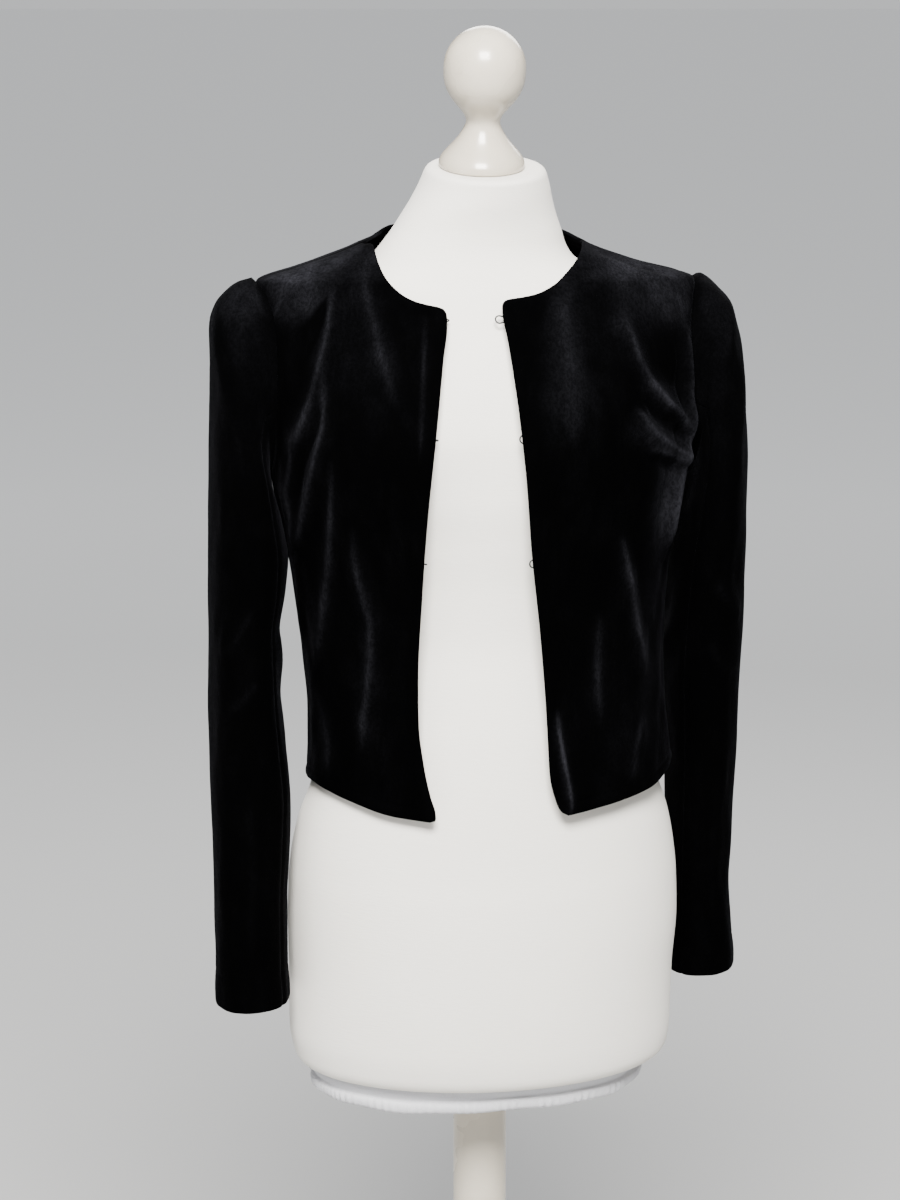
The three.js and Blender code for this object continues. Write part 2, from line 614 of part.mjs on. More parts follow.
function neckKnob(material) {
  const centre = 82;
  const profile = [
    [0, SEAT],
    [KNOB_FOOT - 1.5, SEAT],
    [KNOB_FOOT, 2.5],
    [KNOB_FOOT, 5.5],
    [KNOB_FOOT - 2, 9],
    [31, 15],
    [25.5, 22],
    [20.5, 29],
    [16.5, 36],
    [KNOB_WAIST, 43],
  ];
  const start = Math.asin((KNOB_WAIST + 1) / KNOB_BALL);
  const steps = 13;
  for (let i = 0; i <= steps; i += 1) {
    const angle = start + (Math.PI - start) * (i / steps);
    const radius = i === steps ? 0 : KNOB_BALL * Math.sin(angle);
    profile.push([radius, centre - KNOB_BALL * Math.cos(angle)]);
  }
  const knob = turned("form_knob", profile, 22, material);
  knob.position.copy(plateCentre());
  knob.position.x -= KNOB_ASIDE;
  knob.rotation.x = Math.atan(NECK_TILT);
  return knob;
}

function post(material) {
  const low = BOSS_HEIGHT + SEAT;
  const high = FORM_BOTTOM - SEAT;
  return turned("form_post", [[0, low], [POST_RADIUS, low], [POST_RADIUS, high], [0, high]], 28, material);
}

function base(material) {
  const profile = [
    [0, 0],
    [BASE_RADIUS - 2, 0],
    [BASE_RADIUS, 2],
    [BASE_RADIUS, BASE_HEIGHT - 8],
    [BASE_RADIUS - 3, BASE_HEIGHT - 2.5],
    [BASE_RADIUS - 9, BASE_HEIGHT],
    [48, BASE_HEIGHT + 3],
    [39, BASE_HEIGHT + 7],
    [35, BOSS_HEIGHT - 4],
    [32, BOSS_HEIGHT],
    [0, BOSS_HEIGHT],
  ];
  return turned("form_base", profile, 40, material);
}

// Frame of a fastening at a front edge: a point just inside the wall, the way out past the edge, and up
function edgeFrame(side, z) {
  const angle = edgeAngle(side, z);
  const away = -SIDES[side];
  const here = coatPoint(angle, z);
  const out = coatPoint(angle + away * 0.02, z).sub(here).normalize();
  const up = coatPoint(angle, z + 2).sub(coatPoint(angle, z - 2)).normalize();
  const inward = new THREE.Vector3().crossVectors(out, up).normalize();
  if (inward.y < 0) inward.negate();
  here.addScaledVector(inward, CLOTH + WIRE_GAP + WIRE);
  return { here, out, up, inward };
}

function eye(name, z, past, material) {
  const { here, out, up, inward } = edgeFrame("left", z);
  const geometry = new THREE.TorusGeometry(EYE_RADIUS, WIRE, 5, 14);
  geometry.deleteAttribute("normal");
  geometry.deleteAttribute("uv");
  const ring = mergeVertices(geometry, 1e-4);
  ring.computeVertexNormals();
  const mesh = new THREE.Mesh(ring, material);
  mesh.name = name;
  mesh.position.copy(here.addScaledVector(out, past));
  const side = new THREE.Vector3().crossVectors(up, inward);
  mesh.quaternion.setFromRotationMatrix(new THREE.Matrix4().makeBasis(side, up, inward));
  return mesh;
}

// A hook of one bent wire: two feet that are sewn down, and a tongue that turns back at its nose
function hook(name, z, past, material) {
  const { here, out, up, inward } = edgeFrame("right", z);
  const plan = [
    [-6.5, 2.2, 0],
    [-7.3, 0.9, 0],
    [-5.0, 0.75, 0],
    [-1.6, 0.75, 0],
    [0.6, 0.7, 0.2],
    [1.7, 0.3, 1.3],
    [1.0, 0.0, 2.6],
    [-2.6, 0.0, 2.7],
  ];
  const points = plan.map(([along, across, deep]) =>
    here.clone().addScaledVector(out, along + past).addScaledVector(up, across).addScaledVector(inward, deep),
  );
  const wire = new THREE.Shape();
  const sides = 5;
  for (let i = 0; i < sides; i += 1) {
    const turn = (i / sides) * 2 * Math.PI;
    if (i === 0) wire.moveTo(WIRE * Math.cos(turn), WIRE * Math.sin(turn));
    else wire.lineTo(WIRE * Math.cos(turn), WIRE * Math.sin(turn));
  }
  wire.closePath();
  const path = new THREE.CatmullRomCurve3(points);
  const geometry = new THREE.ExtrudeGeometry(wire, { steps: 14, extrudePath: path, bevelEnabled: false });
  geometry.deleteAttribute("normal");
  geometry.deleteAttribute("uv");
  const merged = mergeVertices(geometry, 1e-4);
  merged.computeVertexNormals();
  const mesh = new THREE.Mesh(merged, material);
  mesh.name = name;
  return mesh;
}

const velvet = new THREE.MeshStandardMaterial({ color: 0x101014, roughness: 0.95, metalness: 0 });
const jersey = new THREE.MeshStandardMaterial({ color: 0xf0eee8, roughness: 0.9, metalness: 0 });
const paint = new THREE.MeshStandardMaterial({ color: 0xe9e4d8, roughness: 0.3, metalness: 0 });
const blackWire = new THREE.MeshStandardMaterial({ color: 0x1b1b1d, roughness: 0.4, metalness: 0.8 });

const blazer = new THREE.Group();
for (const side of Object.keys(SIDES)) {
  blazer.add(frontPiece(side, velvet));
  blazer.add(sleevePiece(`top_sleeve_${side}`, side, true, velvet));
  blazer.add(sleevePiece(`under_sleeve_${side}`, side, false, velvet));
}
blazer.add(backPiece(velvet));
FASTENINGS.forEach(({ z, eyeOut, hookOut }, i) => {
  blazer.add(eye(`eye_${i + 1}`, z, eyeOut, blackWire));
  blazer.add(hook(`hook_${i + 1}`, z, hookOut, blackWire));
});

const dressForm = new THREE.Group();
dressForm.add(formBody(jersey), hemBand(jersey), neckKnob(paint), post(paint), base(paint));

const model = new THREE.Group();
model.add(blazer, dressForm);

export default model;
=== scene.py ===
# %% [markdown]
# # A velvet blazer on a dress form
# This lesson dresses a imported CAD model: a cropped black velvet blazer with an open front, standing on a
# limbless dress form. The CAD part holds every size. Here each cloth piece gets a fine mesh with folds,
# seams and turned edges, and each finish gets its own nodes. Everything is in the part's frame: metres,
# Z up, the front of the blazer toward -Y. Right and left in the names are the wearer's own.

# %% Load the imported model
import math

import bpy
import numpy as np
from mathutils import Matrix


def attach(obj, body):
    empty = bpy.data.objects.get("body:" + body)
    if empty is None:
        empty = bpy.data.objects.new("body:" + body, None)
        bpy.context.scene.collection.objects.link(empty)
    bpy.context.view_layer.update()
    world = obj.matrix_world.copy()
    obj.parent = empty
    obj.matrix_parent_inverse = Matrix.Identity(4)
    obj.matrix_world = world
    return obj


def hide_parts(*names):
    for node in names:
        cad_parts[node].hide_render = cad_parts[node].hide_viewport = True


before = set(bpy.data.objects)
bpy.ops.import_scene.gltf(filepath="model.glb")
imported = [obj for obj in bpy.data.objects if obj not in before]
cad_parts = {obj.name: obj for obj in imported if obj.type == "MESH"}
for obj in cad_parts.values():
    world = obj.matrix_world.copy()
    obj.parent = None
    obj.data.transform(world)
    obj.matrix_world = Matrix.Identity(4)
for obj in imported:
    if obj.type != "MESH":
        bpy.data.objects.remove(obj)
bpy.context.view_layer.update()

# %% [markdown]
# ## The camera
# The photograph was taken a little from the viewer's left and from above. The distance and the lens come
# from how the near and far sides of the jacket shift against each other, and the lens of 84 mm belongs to
# a picture whose long side is 36 mm.

# %% Place the camera
VIEW_TARGET = (-0.0262, 0.0037, 1.018)
VIEW_DISTANCE = 2.393
VIEW_TURN = math.radians(-8)
VIEW_RISE = math.radians(12)

direction = (
    math.sin(VIEW_TURN) * math.cos(VIEW_RISE),
    -math.cos(VIEW_TURN) * math.cos(VIEW_RISE),
    math.sin(VIEW_RISE),
)
eye_point = [t + VIEW_DISTANCE * d for t, d in zip(VIEW_TARGET, direction)]
bpy.ops.object.camera_add(location=eye_point, rotation=(math.pi / 2 - VIEW_RISE, 0, VIEW_TURN))
camera = bpy.context.object
camera.data.lens = 84
camera.data.sensor_width = 36
bpy.context.scene.camera = camera
print("camera at", [round(x, 3) for x in eye_point])

# %% [markdown]
# ## Floor and light
# The photograph is lit softly from above and in front, and the round white form gets darker toward both of
# its sides. So one large light hangs high in front, a weak one fills the left, and one behind lifts the
# edges. The world is a ceiling: bright overhead, dim at eye level, and as bright as the floor at the horizon,
# so that no line shows where the two meet.

# %% Lay the floor and hang the lights
def add_area_light(name, place, aim, size, power, colour=(1, 1, 1)):
    bpy.ops.object.light_add(type="AREA", location=place)
    light = bpy.context.object
    light.name = name
    light.data.shape = "RECTANGLE"
    light.data.size, light.data.size_y = size
    light.data.energy = power
    light.data.color = colour
    away = [p - a for p, a in zip(place, aim)]
    flat = math.hypot(away[0], away[1])
    light.rotation_euler = (math.atan2(flat, away[2]), 0, math.atan2(away[0], -away[1]))
    return light


add_area_light("key_light", (-0.35, -2.2, 3.0), (0, 0, 1.15), (1.2, 1.0), 400, (1.0, 0.985, 0.955))
add_area_light("fill_light", (-2.4, -1.9, 1.9), (0, 0, 1.0), (1.8, 2.0), 14, (0.96, 0.98, 1.0))
add_area_light("back_light", (0.8, 2.4, 2.6), (0, 0, 1.1), (2.0, 1.2), 60)

bpy.ops.mesh.primitive_plane_add(size=4000, location=(0, 0, 0))
floor = bpy.context.object
floor.name = "floor"

world = bpy.data.worlds.new("studio")
bpy.context.scene.world = world
world.use_nodes = True
sky = world.node_tree
ray = sky.nodes.new("ShaderNodeTexCoord")
ray_height = sky.nodes.new("ShaderNodeSeparateXYZ")
glow = sky.nodes.new("ShaderNodeValToRGB")
SKY_STOPS = [(0.0, 0.434), (0.015, 0.434), (0.05, 0.07), (0.4, 0.14), (0.75, 0.5), (1.0, 1.0)]
glow.color_ramp.elements[1].position = 1.0
for _ in SKY_STOPS[2:]:
    glow.color_ramp.elements.new(0.5)
for stop, (position, grey) in zip(glow.color_ramp.elements, SKY_STOPS):
    stop.position = position
    stop.color = (grey * 0.985, grey, grey * 1.015, 1)
sky.links.new(ray.outputs["Generated"], ray_height.inputs[0])
sky.links.new(ray_height.outputs["Z"], glow.inputs[0])
sky.links.new(glow.outputs["Color"], sky.nodes["Background"].inputs["Color"])
sky.nodes["Background"].inputs["Strength"].default_value = 1.5
print("sky from the horizon up", SKY_STOPS)

# %% [markdown]
# ## A small language for shader maths
# A node tree is easier to read as a sum. `Value` wraps one socket, and its operators add Math nodes. Any
# other node comes from `Finish.node`, which takes the node's type, its settings and its inputs.

# %% Wrap sockets so that they can be added and multiplied
class Value:
    def __init__(self, finish, socket):
        self.finish = finish
        self.socket = socket

    def maths(self, operation, *others):
        settings = {"operation": operation}
        return self.finish.node("ShaderNodeMath", settings, dict(enumerate([self, *others])))

    def __add__(self, other):
        return self.maths("ADD", other)

    def __rsub__(self, other):
        return self.finish.node("ShaderNodeMath", {"operation": "SUBTRACT"}, {0: other, 1: self})

    def __mul__(self, other):
        return self.maths("MULTIPLY", other)

    __radd__ = __add__
    __rmul__ = __mul__

    def ramp(self, low, high):
        """0 below low, 1 above high, and a smooth step between them."""
        settings = {"interpolation_type": "SMOOTHSTEP"}
        return self.finish.node("ShaderNodeMapRange", settings, {"Value": self, 1: low, 2: high})


class Finish:
    """One material: a Principled shader and what is plugged into it."""

    def __init__(self, name):
        self.material = bpy.data.materials.new(name)
        self.material.use_nodes = True
        self.tree = self.material.node_tree
        self.shader = self.tree.nodes["Principled BSDF"]

    def node(self, kind, settings=None, inputs=None, output=0):
        made = self.tree.nodes.new(kind)
        for key, value in (settings or {}).items():
            setattr(made, key, value)
        self.connect(made, inputs or {})
        return Value(self, made.outputs[output])

    def connect(self, made, inputs):
        for key, value in inputs.items():
            socket = made.inputs[key]
            if isinstance(value, Value):
                self.tree.links.new(value.socket, socket)
            else:
                socket.default_value = value

    def surface(self, **inputs):
        self.connect(self.shader, {key.replace("_", " "): value for key, value in inputs.items()})

    def place(self, scale=(1, 1, 1)):
        """Object coordinates in metres, stretched by scale."""
        where = self.node("ShaderNodeTexCoord", output="Object")
        return self.node("ShaderNodeMapping", inputs={"Vector": where, "Scale": scale})

    def noise(self, vector, scale, detail=2.0, roughness=0.5):
        inputs = {"Vector": vector, "Scale": scale, "Detail": detail, "Roughness": roughness}
        return self.node("ShaderNodeTexNoise", inputs=inputs)

    def mix(self, share, first, second):
        settings = {"data_type": "RGBA"}
        inputs = {"Factor": share, 6: (*first, 1), 7: (*second, 1)}
        return self.node("ShaderNodeMix", settings, inputs, output=2)

    def bump(self, height, strength, distance):
        inputs = {"Height": height, "Strength": strength, "Distance": distance}
        return self.node("ShaderNodeBump", inputs=inputs)


# %% [markdown]
# ## Velvet
# Velvet is a dense cut pile. Light that falls along the pile sinks in, so the cloth is nearly black, and the
# sides of the fibres shine where the cloth turns away from the eye: a little sheen in the shader does that.
# The charcoal sheen along the crest of each fold, over the shoulders and the bust, and where the cloth faces
# up, is painted sheen: a painted highlight in the base colour. Each cloth piece carries it as a point
# attribute, from 0 to 1. Streaks of the nap and small clumps of fibres break it up, so that it never looks
# like satin.

# %% Mix the velvet
velvet = Finish("black_velvet")
painted_sheen = velvet.node("ShaderNodeAttribute", {"attribute_name": "painted_sheen"}, output="Fac")
cloth_place = velvet.place()
nap_streaks = velvet.noise(velvet.place((1.0, 1.0, 0.3)), 60, 3, 0.6).ramp(0.38, 0.68)
nap_patches = velvet.noise(cloth_place, 24, 3, 0.55).ramp(0.36, 0.66)
clumps = velvet.noise(velvet.place((1.0, 1.0, 0.6)), 480, 2, 0.65).ramp(0.3, 0.7)
grain = velvet.noise(cloth_place, 1500, 2, 0.6).ramp(0.3, 0.7)
# Painted sheen: the attribute, broken up by the nap's streaks and clumps, lifts the base colour from near
# black to charcoal. Only the small product of patches and streaks is the cloth's own random tone.
sheen_and_tone_paint = painted_sheen * (0.45 + nap_patches * 0.45 + nap_streaks * 0.45) + nap_patches * nap_streaks * 0.012
shine = sheen_and_tone_paint * (0.4 + clumps * 0.75 + grain * 0.45)
velvet.surface(
    Base_Color=velvet.mix(shine, (0.0002, 0.0002, 0.00025), (0.021, 0.021, 0.0255)),
    Roughness=0.95 - shine * 0.12,
    Normal=velvet.bump(grain * 0.35 + clumps * 0.65, 0.4, 0.0008),
    Specular_IOR_Level=0.01,
    Sheen_Weight=0.006,
    Sheen_Roughness=0.25,
    Sheen_Tint=(0.78, 0.79, 0.95, 1),
)

# %% [markdown]
# ## Jersey
# The form is covered with a fine warm white knit, stretched sideways round it. At this distance the knit
# shows as faint level rows, so the pattern is a noise drawn out along X and Y and tight along Z. The edging
# under the torso is painted a cooler, darker white: painted shade, for the shade it lies in under the torso.

# %% Mix the jersey and its edging
jersey = Finish("white_jersey")
knit_rows = jersey.noise(jersey.place((0.16, 0.16, 1.0)), 620, 2, 0.55)
stitches = jersey.noise(jersey.place((1.0, 1.0, 0.6)), 1300, 1, 0.5)
tone = jersey.noise(jersey.place(), 5, 2, 0.5).ramp(0.35, 0.7)
jersey.surface(
    Base_Color=jersey.mix(tone * 0.5 + knit_rows * 0.5, (0.75, 0.722, 0.665), (0.8, 0.772, 0.715)),
    Roughness=0.86 + knit_rows * 0.1,
    Normal=jersey.bump(knit_rows * 0.7 + stitches * 0.3, 0.3, 0.0006),
    Specular_IOR_Level=0.3,
    Sheen_Weight=0.12,
    Sheen_Roughness=0.5,
    Sheen_Tint=(1.0, 0.99, 0.97, 1),
)

# Painted shade: the edging's darker, cooler white stands for the shade under the torso.
edging_in_painted_shade = Finish("painted_shade_white_edging")
edging_threads = edging_in_painted_shade.noise(edging_in_painted_shade.place((1.0, 1.0, 0.3)), 900, 2, 0.55)
edging_in_painted_shade.surface(
    Base_Color=edging_in_painted_shade.mix(edging_threads, (0.52, 0.52, 0.545), (0.62, 0.62, 0.645)),
    Roughness=0.88,
    Normal=edging_in_painted_shade.bump(edging_threads, 0.35, 0.0006),
    Specular_IOR_Level=0.2,
)

# %% [markdown]
# ## Gloss paint, black wire and the floor
# The knob and the post are turned wood under cream gloss. The paint has a faint orange peel and is a shade
# darker in patches. The hooks and eyes are black enamelled wire. The floor is pale, with painted shade round
# the form: it is painted a darker grey there, which also lets less light come back from below.

# %% Mix the paint, the enamel and the floor
paint = Finish("cream_gloss_paint")
paint_tone = paint.noise(paint.place(), 14, 3, 0.5).ramp(0.35, 0.7)
orange_peel = paint.noise(paint.place(), 260, 2, 0.5)
paint.surface(
    Base_Color=paint.mix(paint_tone, (0.5, 0.45, 0.365), (0.56, 0.505, 0.415)),
    Roughness=0.24 + paint_tone * 0.07,
    Normal=paint.bump(orange_peel, 0.12, 0.0005),
    Coat_Weight=0.35,
    Coat_Roughness=0.12,
)

enamel = Finish("black_enamel")
enamel_wear = enamel.noise(enamel.place(), 900, 2, 0.6).ramp(0.55, 0.8)
enamel.surface(
    Base_Color=enamel.mix(enamel_wear, (0.012, 0.012, 0.013), (0.05, 0.05, 0.052)),
    Roughness=0.34 + enamel_wear * 0.2,
    Metallic=0.35 + enamel_wear * 0.4,
)

backdrop = Finish("pale_floor_painted_shade")
backdrop_tone = backdrop.noise(backdrop.place(), 0.8, 2, 0.5)
from_middle = backdrop.node("ShaderNodeVectorMath", {"operation": "LENGTH"}, {0: backdrop.place()}, "Value")
# Painted shade: the floor's colour darkens from pale far out to grey under and round the form.
backdrop.surface(
    Base_Color=backdrop.mix(
        from_middle.ramp(0.6, 7.0) + backdrop_tone * 0.04, (0.42, 0.418, 0.415), (0.86, 0.865, 0.87)),
    Roughness=0.85 + backdrop_tone * 0.05,
)
floor.data.materials.append(backdrop.material)
print("finishes", [m.name for m in bpy.data.materials if m.users])

# %% [markdown]
# ## The blazer's measures
# A tailor's block is a few measures round the body at a row of heights. The numbers are the CAD part's own,
# in millimetres: half the width, how far the middle stands to the side, and the depth to the front and the
# back. A smooth curve that never overshoots its rows joins them.

# %% Write down the sections
MM = 0.001
DEGREE = math.pi / 180
CLOTH = 2.0
SHOULDER_TIP = 1292.5
NECK_POINT = 1324.0
BACK_NECK = 1336.0
ARMPIT = 1135.0
ARM_REACH = {"front": 45.0, "back": 54.0}
SIDES = {"right": -1, "left": 1}


def table(names, rows):
    return dict(zip(names.split(), np.array(rows, float).T))


COAT = table("z wide mid front back", [
    (850, 160, 7.5, 116, 107), (880, 158.5, 7.5, 114, 103), (910, 156, 6.5, 112, 99),
    (940, 154.5, 4.8, 111, 96), (977, 155.5, 2.2, 111, 95), (1022, 159, 0, 112, 98),
    (1050, 162, -1, 113, 101), (1088, 168, -2, 115, 105), (1120, 174.5, -2, 117, 108),
    (1142, 179, -2, 118, 110), (1166, 184, -2, 117, 111), (1195, 189, -2, 112, 112),
    (1221, 192.5, -2, 103, 112), (1245, 194, -2, 92, 110), (1266, 192.5, -2, 81, 105),
    (1282, 189, -2.5, 72, 97), (1292.5, 184.5, -4.5, 66, 90), (1304, 148, -8, 60, 83),
    (1311.5, 125, -8.5, 56.5, 78), (1317, 109, -8.5, 54, 74), (1322, 97, -8.5, 52, 70.5),
    (1326, 88, -7.5, 51, 68), (1332, 79, -6.5, 50, 64.5), (1340, 74, -5.5, 50, 62),
])
EDGE = {
    "right": table("z x", [
        (852.6, -58.5), (853.3, -55.6), (856, -53.4), (861, -53.6), (875, -57.5), (900, -62.5), (935, -66.5),
        (975, -67), (1045, -64), (1120, -59.5), (1180, -53.5), (1235, -45.5), (1264, -40.2), (1271, -40),
        (1275, -42),
    ]),
    "left": table("z x", [
        (856.6, 57.5), (857.6, 54), (860.5, 50.8), (867, 47.4), (890, 41.5), (935, 39), (980, 35.5),
        (1025, 31), (1075, 25), (1130, 20), (1195, 13.5), (1250, 8), (1272, 5.2), (1278, 5.4), (1281.2, 8),
    ]),
}
NECKLINE = {
    "right": table("x z", [
        (-42, 1275), (-46, 1276.7), (-56, 1278.8), (-65, 1281.2), (-72.5, 1284.8), (-79.5, 1290.2),
        (-85.5, 1297), (-90, 1305.5), (-92.4, 1314), (-93.5, 1324),
    ]),
    "left": table("x z", [
        (8, 1281.2), (12, 1282.4), (22, 1283.6), (34, 1285.7), (50, 1292.5), (60, 1300), (69, 1308),
        (76.5, 1316), (82.5, 1324),
    ]),
}
HEM = table("angle z", [
    (-180, 861), (-110, 866), (-78, 870), (-55, 864), (-35, 855.5), (-10, 852), (10, 854), (30, 859.5),
    (55, 866), (80, 875.5), (100, 869), (140, 862), (180, 861),
])


def smooth(rows, key, name, at):
    """A column of a table at each place, on a smooth curve through its rows."""
    x, y = rows[key], rows[name]
    at = np.clip(np.asarray(at, float), x[0], x[-1])
    i = np.clip(np.searchsorted(x, at, side="right") - 1, 0, len(x) - 2)
    slope = np.diff(y) / np.diff(x)
    here = slope[i]

    def blend(other):
        same_way = here * other > 0
        return np.where(same_way, 2 * here * other / np.where(same_way, here + other, 1), 0)

    step = x[i + 1] - x[i]
    f = (at - x[i]) / step
    start = blend(slope[np.maximum(i - 1, 0)]) * step
    end = blend(slope[np.minimum(i + 1, len(slope) - 1)]) * step
    start = np.where(i == 0, here * step, start)
    end = np.where(i == len(slope) - 1, here * step, end)
    low, high = y[i], y[i + 1]
    return (
        low * (1 + 2 * f) * (1 - f) ** 2 + start * f * (1 - f) ** 2
        + high * f * f * (3 - 2 * f) + end * f * f * (f - 1)
    )


def oval(rows, angle, z):
    """Points of an oval section, by the angle from the centre front (0) to the viewer's right (90)."""
    front_facing = np.cos(angle) >= 0
    depth = np.where(front_facing, smooth(rows, "z", "front", z), smooth(rows, "z", "back", z))
    x = smooth(rows, "z", "mid", z) + smooth(rows, "z", "wide", z) * np.sin(angle)
    return np.stack([x, -np.cos(angle) * depth, np.asarray(z, float) + 0 * x], axis=-1)


print("half width at the waist", smooth(COAT, "z", "wide", 950.0), "mm")

# %% [markdown]
# ## Folds
# A fold is a ridge along a route. Its height falls off across the route and dies away at both ends, and a
# shallow trough runs along each foot, because the cloth that the ridge takes comes from beside it. Routes
# are given by x and z as seen from the front (toward -1) or from behind (toward 1), and `lean` makes one
# flank steeper than the other. The last number before a route says how much painted sheen, a painted
# highlight, lies along its crest. Soft patches of painted sheen over the shoulders and the bust, and one of
# painted shade beside a fold, are listed in the same way.

# %% List the folds and lay them on the cloth
def ridge(across, high, wide, lean=0.0, trough=0.3):
    """Height of a fold at a distance across its route."""
    spread = wide * (1 + lean * np.tanh(across / wide))
    t = across / spread
    crest = high * np.exp(-np.abs(t) ** 1.45)
    feet = high * trough * np.exp(-((np.abs(t) - 2.1) / 0.9) ** 2)
    return crest - feet


def along_route(route, a, b):
    """Signed distance from a route at each place, and how far along it the nearest point is."""
    route = np.array(route, float)
    nearest = np.full(a.shape, np.inf)
    signed = np.zeros(a.shape)
    share = np.zeros(a.shape)
    lengths = np.hypot(*np.diff(route, axis=0).T)
    done = np.concatenate([[0], np.cumsum(lengths)]) / lengths.sum()
    for i, length in enumerate(lengths):
        (pa, pb), (qa, qb) = route[i], route[i + 1]
        ta, tb = (qa - pa) / length, (qb - pb) / length
        f = np.clip(((a - pa) * ta + (b - pb) * tb) / length, 0, 1)
        da, db = a - pa - f * length * ta, b - pb - f * length * tb
        distance = np.hypot(da, db)
        closer = distance < nearest
        nearest = np.where(closer, distance, nearest)
        signed = np.where(closer, np.sign(da * tb - db * ta) * distance, signed)
        share = np.where(closer, done[i] + (done[i + 1] - done[i]) * f, share)
    return signed, share


def fade_ends(share, start=0.18, end=0.18):
    """1 along the middle of a route, 0 at its ends."""
    rise = np.clip(share / start, 0, 1)
    fall = np.clip((1 - share) / end, 0, 1)
    return rise * rise * (3 - 2 * rise) * fall * fall * (3 - 2 * fall)


def crest_sheen_paint(across, wide):
    """The thin line of painted sheen on a crest, with a soft fringe."""
    return np.exp(-(across / (wide * 0.34)) ** 2) + 0.25 * np.exp(-(across / wide) ** 2)


def folds(rows, toward, x, z):
    """The height of all folds on one side of the body, and the painted sheen on their crests."""
    height = np.zeros(x.shape)
    sheen_paint = np.zeros(x.shape)
    for side, high, wide, lean, painted_light_amount, route in rows:
        if side != toward:
            continue
        across, share = along_route(route, x, z)
        height += ridge(across, high, wide, lean) * fade_ends(share)
        sheen_paint += painted_light_amount * crest_sheen_paint(across, wide) * fade_ends(share, 0.25, 0.25)
    return height, sheen_paint


def painted_light_patches(rows, toward, x, z):
    """Soft patches of painted sheen, or of painted shade where the amount is below 0: amount, middle, half
    width, half height, and slant.
    """
    sheen_paint = np.zeros(x.shape)
    for side, painted_light_amount, middle_x, middle_z, wide, tall, slant in rows:
        if side != toward:
            continue
        along = (z - middle_z) / tall
        across = (x - middle_x - slant * (z - middle_z)) / wide
        sheen_paint += painted_light_amount * np.exp(-across ** 2 - along ** 2)
    return sheen_paint


BODY_FOLDS = [
    (-1, 8.0, 6.5, 0.3, 0.2, [(-125, 1298), (-130, 1286), (-133, 1260), (-141, 1231), (-149, 1202),
                               (-157, 1176), (-164, 1150)]),
    (-1, 2.6, 4.0, 0.0, 0.2, [(-158, 1186), (-163, 1164), (-166, 1144), (-168, 1122), (-164, 1092),
                              (-158, 1066)]),
    (-1, 5.4, 5.0, -0.2, 0.24, [(-138, 1236), (-139, 1210), (-141, 1180), (-147, 1152), (-152, 1128),
                                (-156, 1098), (-160, 1066)]),
    (-1, 2.6, 9, 0.0, 0.1, [(-106, 1312), (-103, 1282), (-98, 1255), (-91, 1225), (-86, 1196)]),
    (-1, 2.2, 4.5, 0.0, 0.18, [(-168, 1284), (-175, 1272), (-181, 1258), (-187, 1240)]),
    (-1, 4.2, 7, 0.2, 0.22, [(-119, 1104), (-117, 1081), (-113, 1056), (-104, 1021), (-104, 986), (-107, 950),
                             (-112, 900)]),
    (-1, 2.8, 6.5, -0.2, 0.16, [(-136, 1160), (-135, 1106), (-137, 1066), (-139, 1036), (-142, 1000),
                                (-146, 966)]),
    (-1, 8.0, 7.0, -0.3, 0.13, [(106, 1272), (109, 1254), (116, 1231), (126, 1212), (141, 1196), (155, 1184),
                                (166, 1166)]),
    (-1, 0.6, 7.0, 0.0, 0.3, [(120, 1220), (127, 1211), (141, 1196), (155, 1184), (165, 1168)]),
    (-1, 5.6, 6.5, 0.2, 0.26, [(112, 1196), (122, 1181), (131, 1171), (143, 1163), (156, 1153), (166, 1142)]),
    (-1, 3.4, 5, 0.0, 0.2, [(126, 1160), (138, 1155), (152, 1149), (164, 1140)]),
    (-1, 8.5, 6.5, -0.35, 0.4, [(160, 1268), (164, 1250), (167, 1231), (168, 1213), (168, 1195), (167, 1180),
                                (165, 1163), (161, 1146), (157, 1126), (154, 1108), (151, 1080), (150, 1058),
                                (150, 1048)]),
    (-1, 2.4, 15, 0.0, 0.05, [(60, 1330), (57, 1290), (55, 1250), (55, 1210), (58, 1160)]),
    (-1, 4.4, 6.5, 0.2, 0.3, [(104, 1092), (107, 1070), (114, 1040), (120, 1012), (125, 990), (131, 956)]),
    (-1, 2.4, 8, 0.0, 0.09, [(84, 1030), (83, 995), (83, 955), (87, 922)]),
    (-1, 3.4, 4, 0.1, 0.38, [(47, 950), (49, 926), (53, 905), (57, 884), (60, 868), (60, 850)]),
    (-1, 1.2, 4, 0.0, 0.07, [(-57, 1276), (-58, 1262), (-61, 1237), (-65, 1194), (-68, 1150)]),
    (-1, 1.8, 6, 0.0, 0.07, [(-150, 968), (-142, 940), (-136, 905), (-137, 872)]),
    (-1, 2.4, 8, 0.0, 0.1, [(128, 935), (120, 905), (116, 872)]),
    (1, 6.0, 8, 0.2, 0.25, [(-156, 1262), (-148, 1236), (-138, 1200), (-124, 1162), (-112, 1128)]),
    (1, 6.0, 8, -0.2, 0.25, [(156, 1262), (149, 1232), (136, 1192), (121, 1156), (108, 1120)]),
    (1, 4.2, 9, 0.1, 0.2, [(-94, 1104), (-82, 1052), (-78, 1010), (-81, 962), (-88, 905)]),
    (1, 4.2, 9, 0.0, 0.2, [(90, 1112), (80, 1062), (74, 1018), (77, 964), (83, 900)]),
    (1, 3.0, 11, 0.0, 0.12, [(-8, 1076), (2, 1030), (4, 990), (0, 940), (-4, 890)]),
    (1, 3.4, 7, 0.2, 0.16, [(-152, 1118), (-140, 1084), (-136, 1040), (-142, 1000)]),
    (1, 3.4, 7, 0.1, 0.16, [(154, 1110), (143, 1072), (140, 1028), (145, 985)]),
    (1, 2.2, 9, 0.0, 0.1, [(-40, 1000), (-34, 955), (-38, 900)]),
    (1, 2.0, 9, 0.0, 0.1, [(42, 1010), (37, 958), (44, 905)]),
]
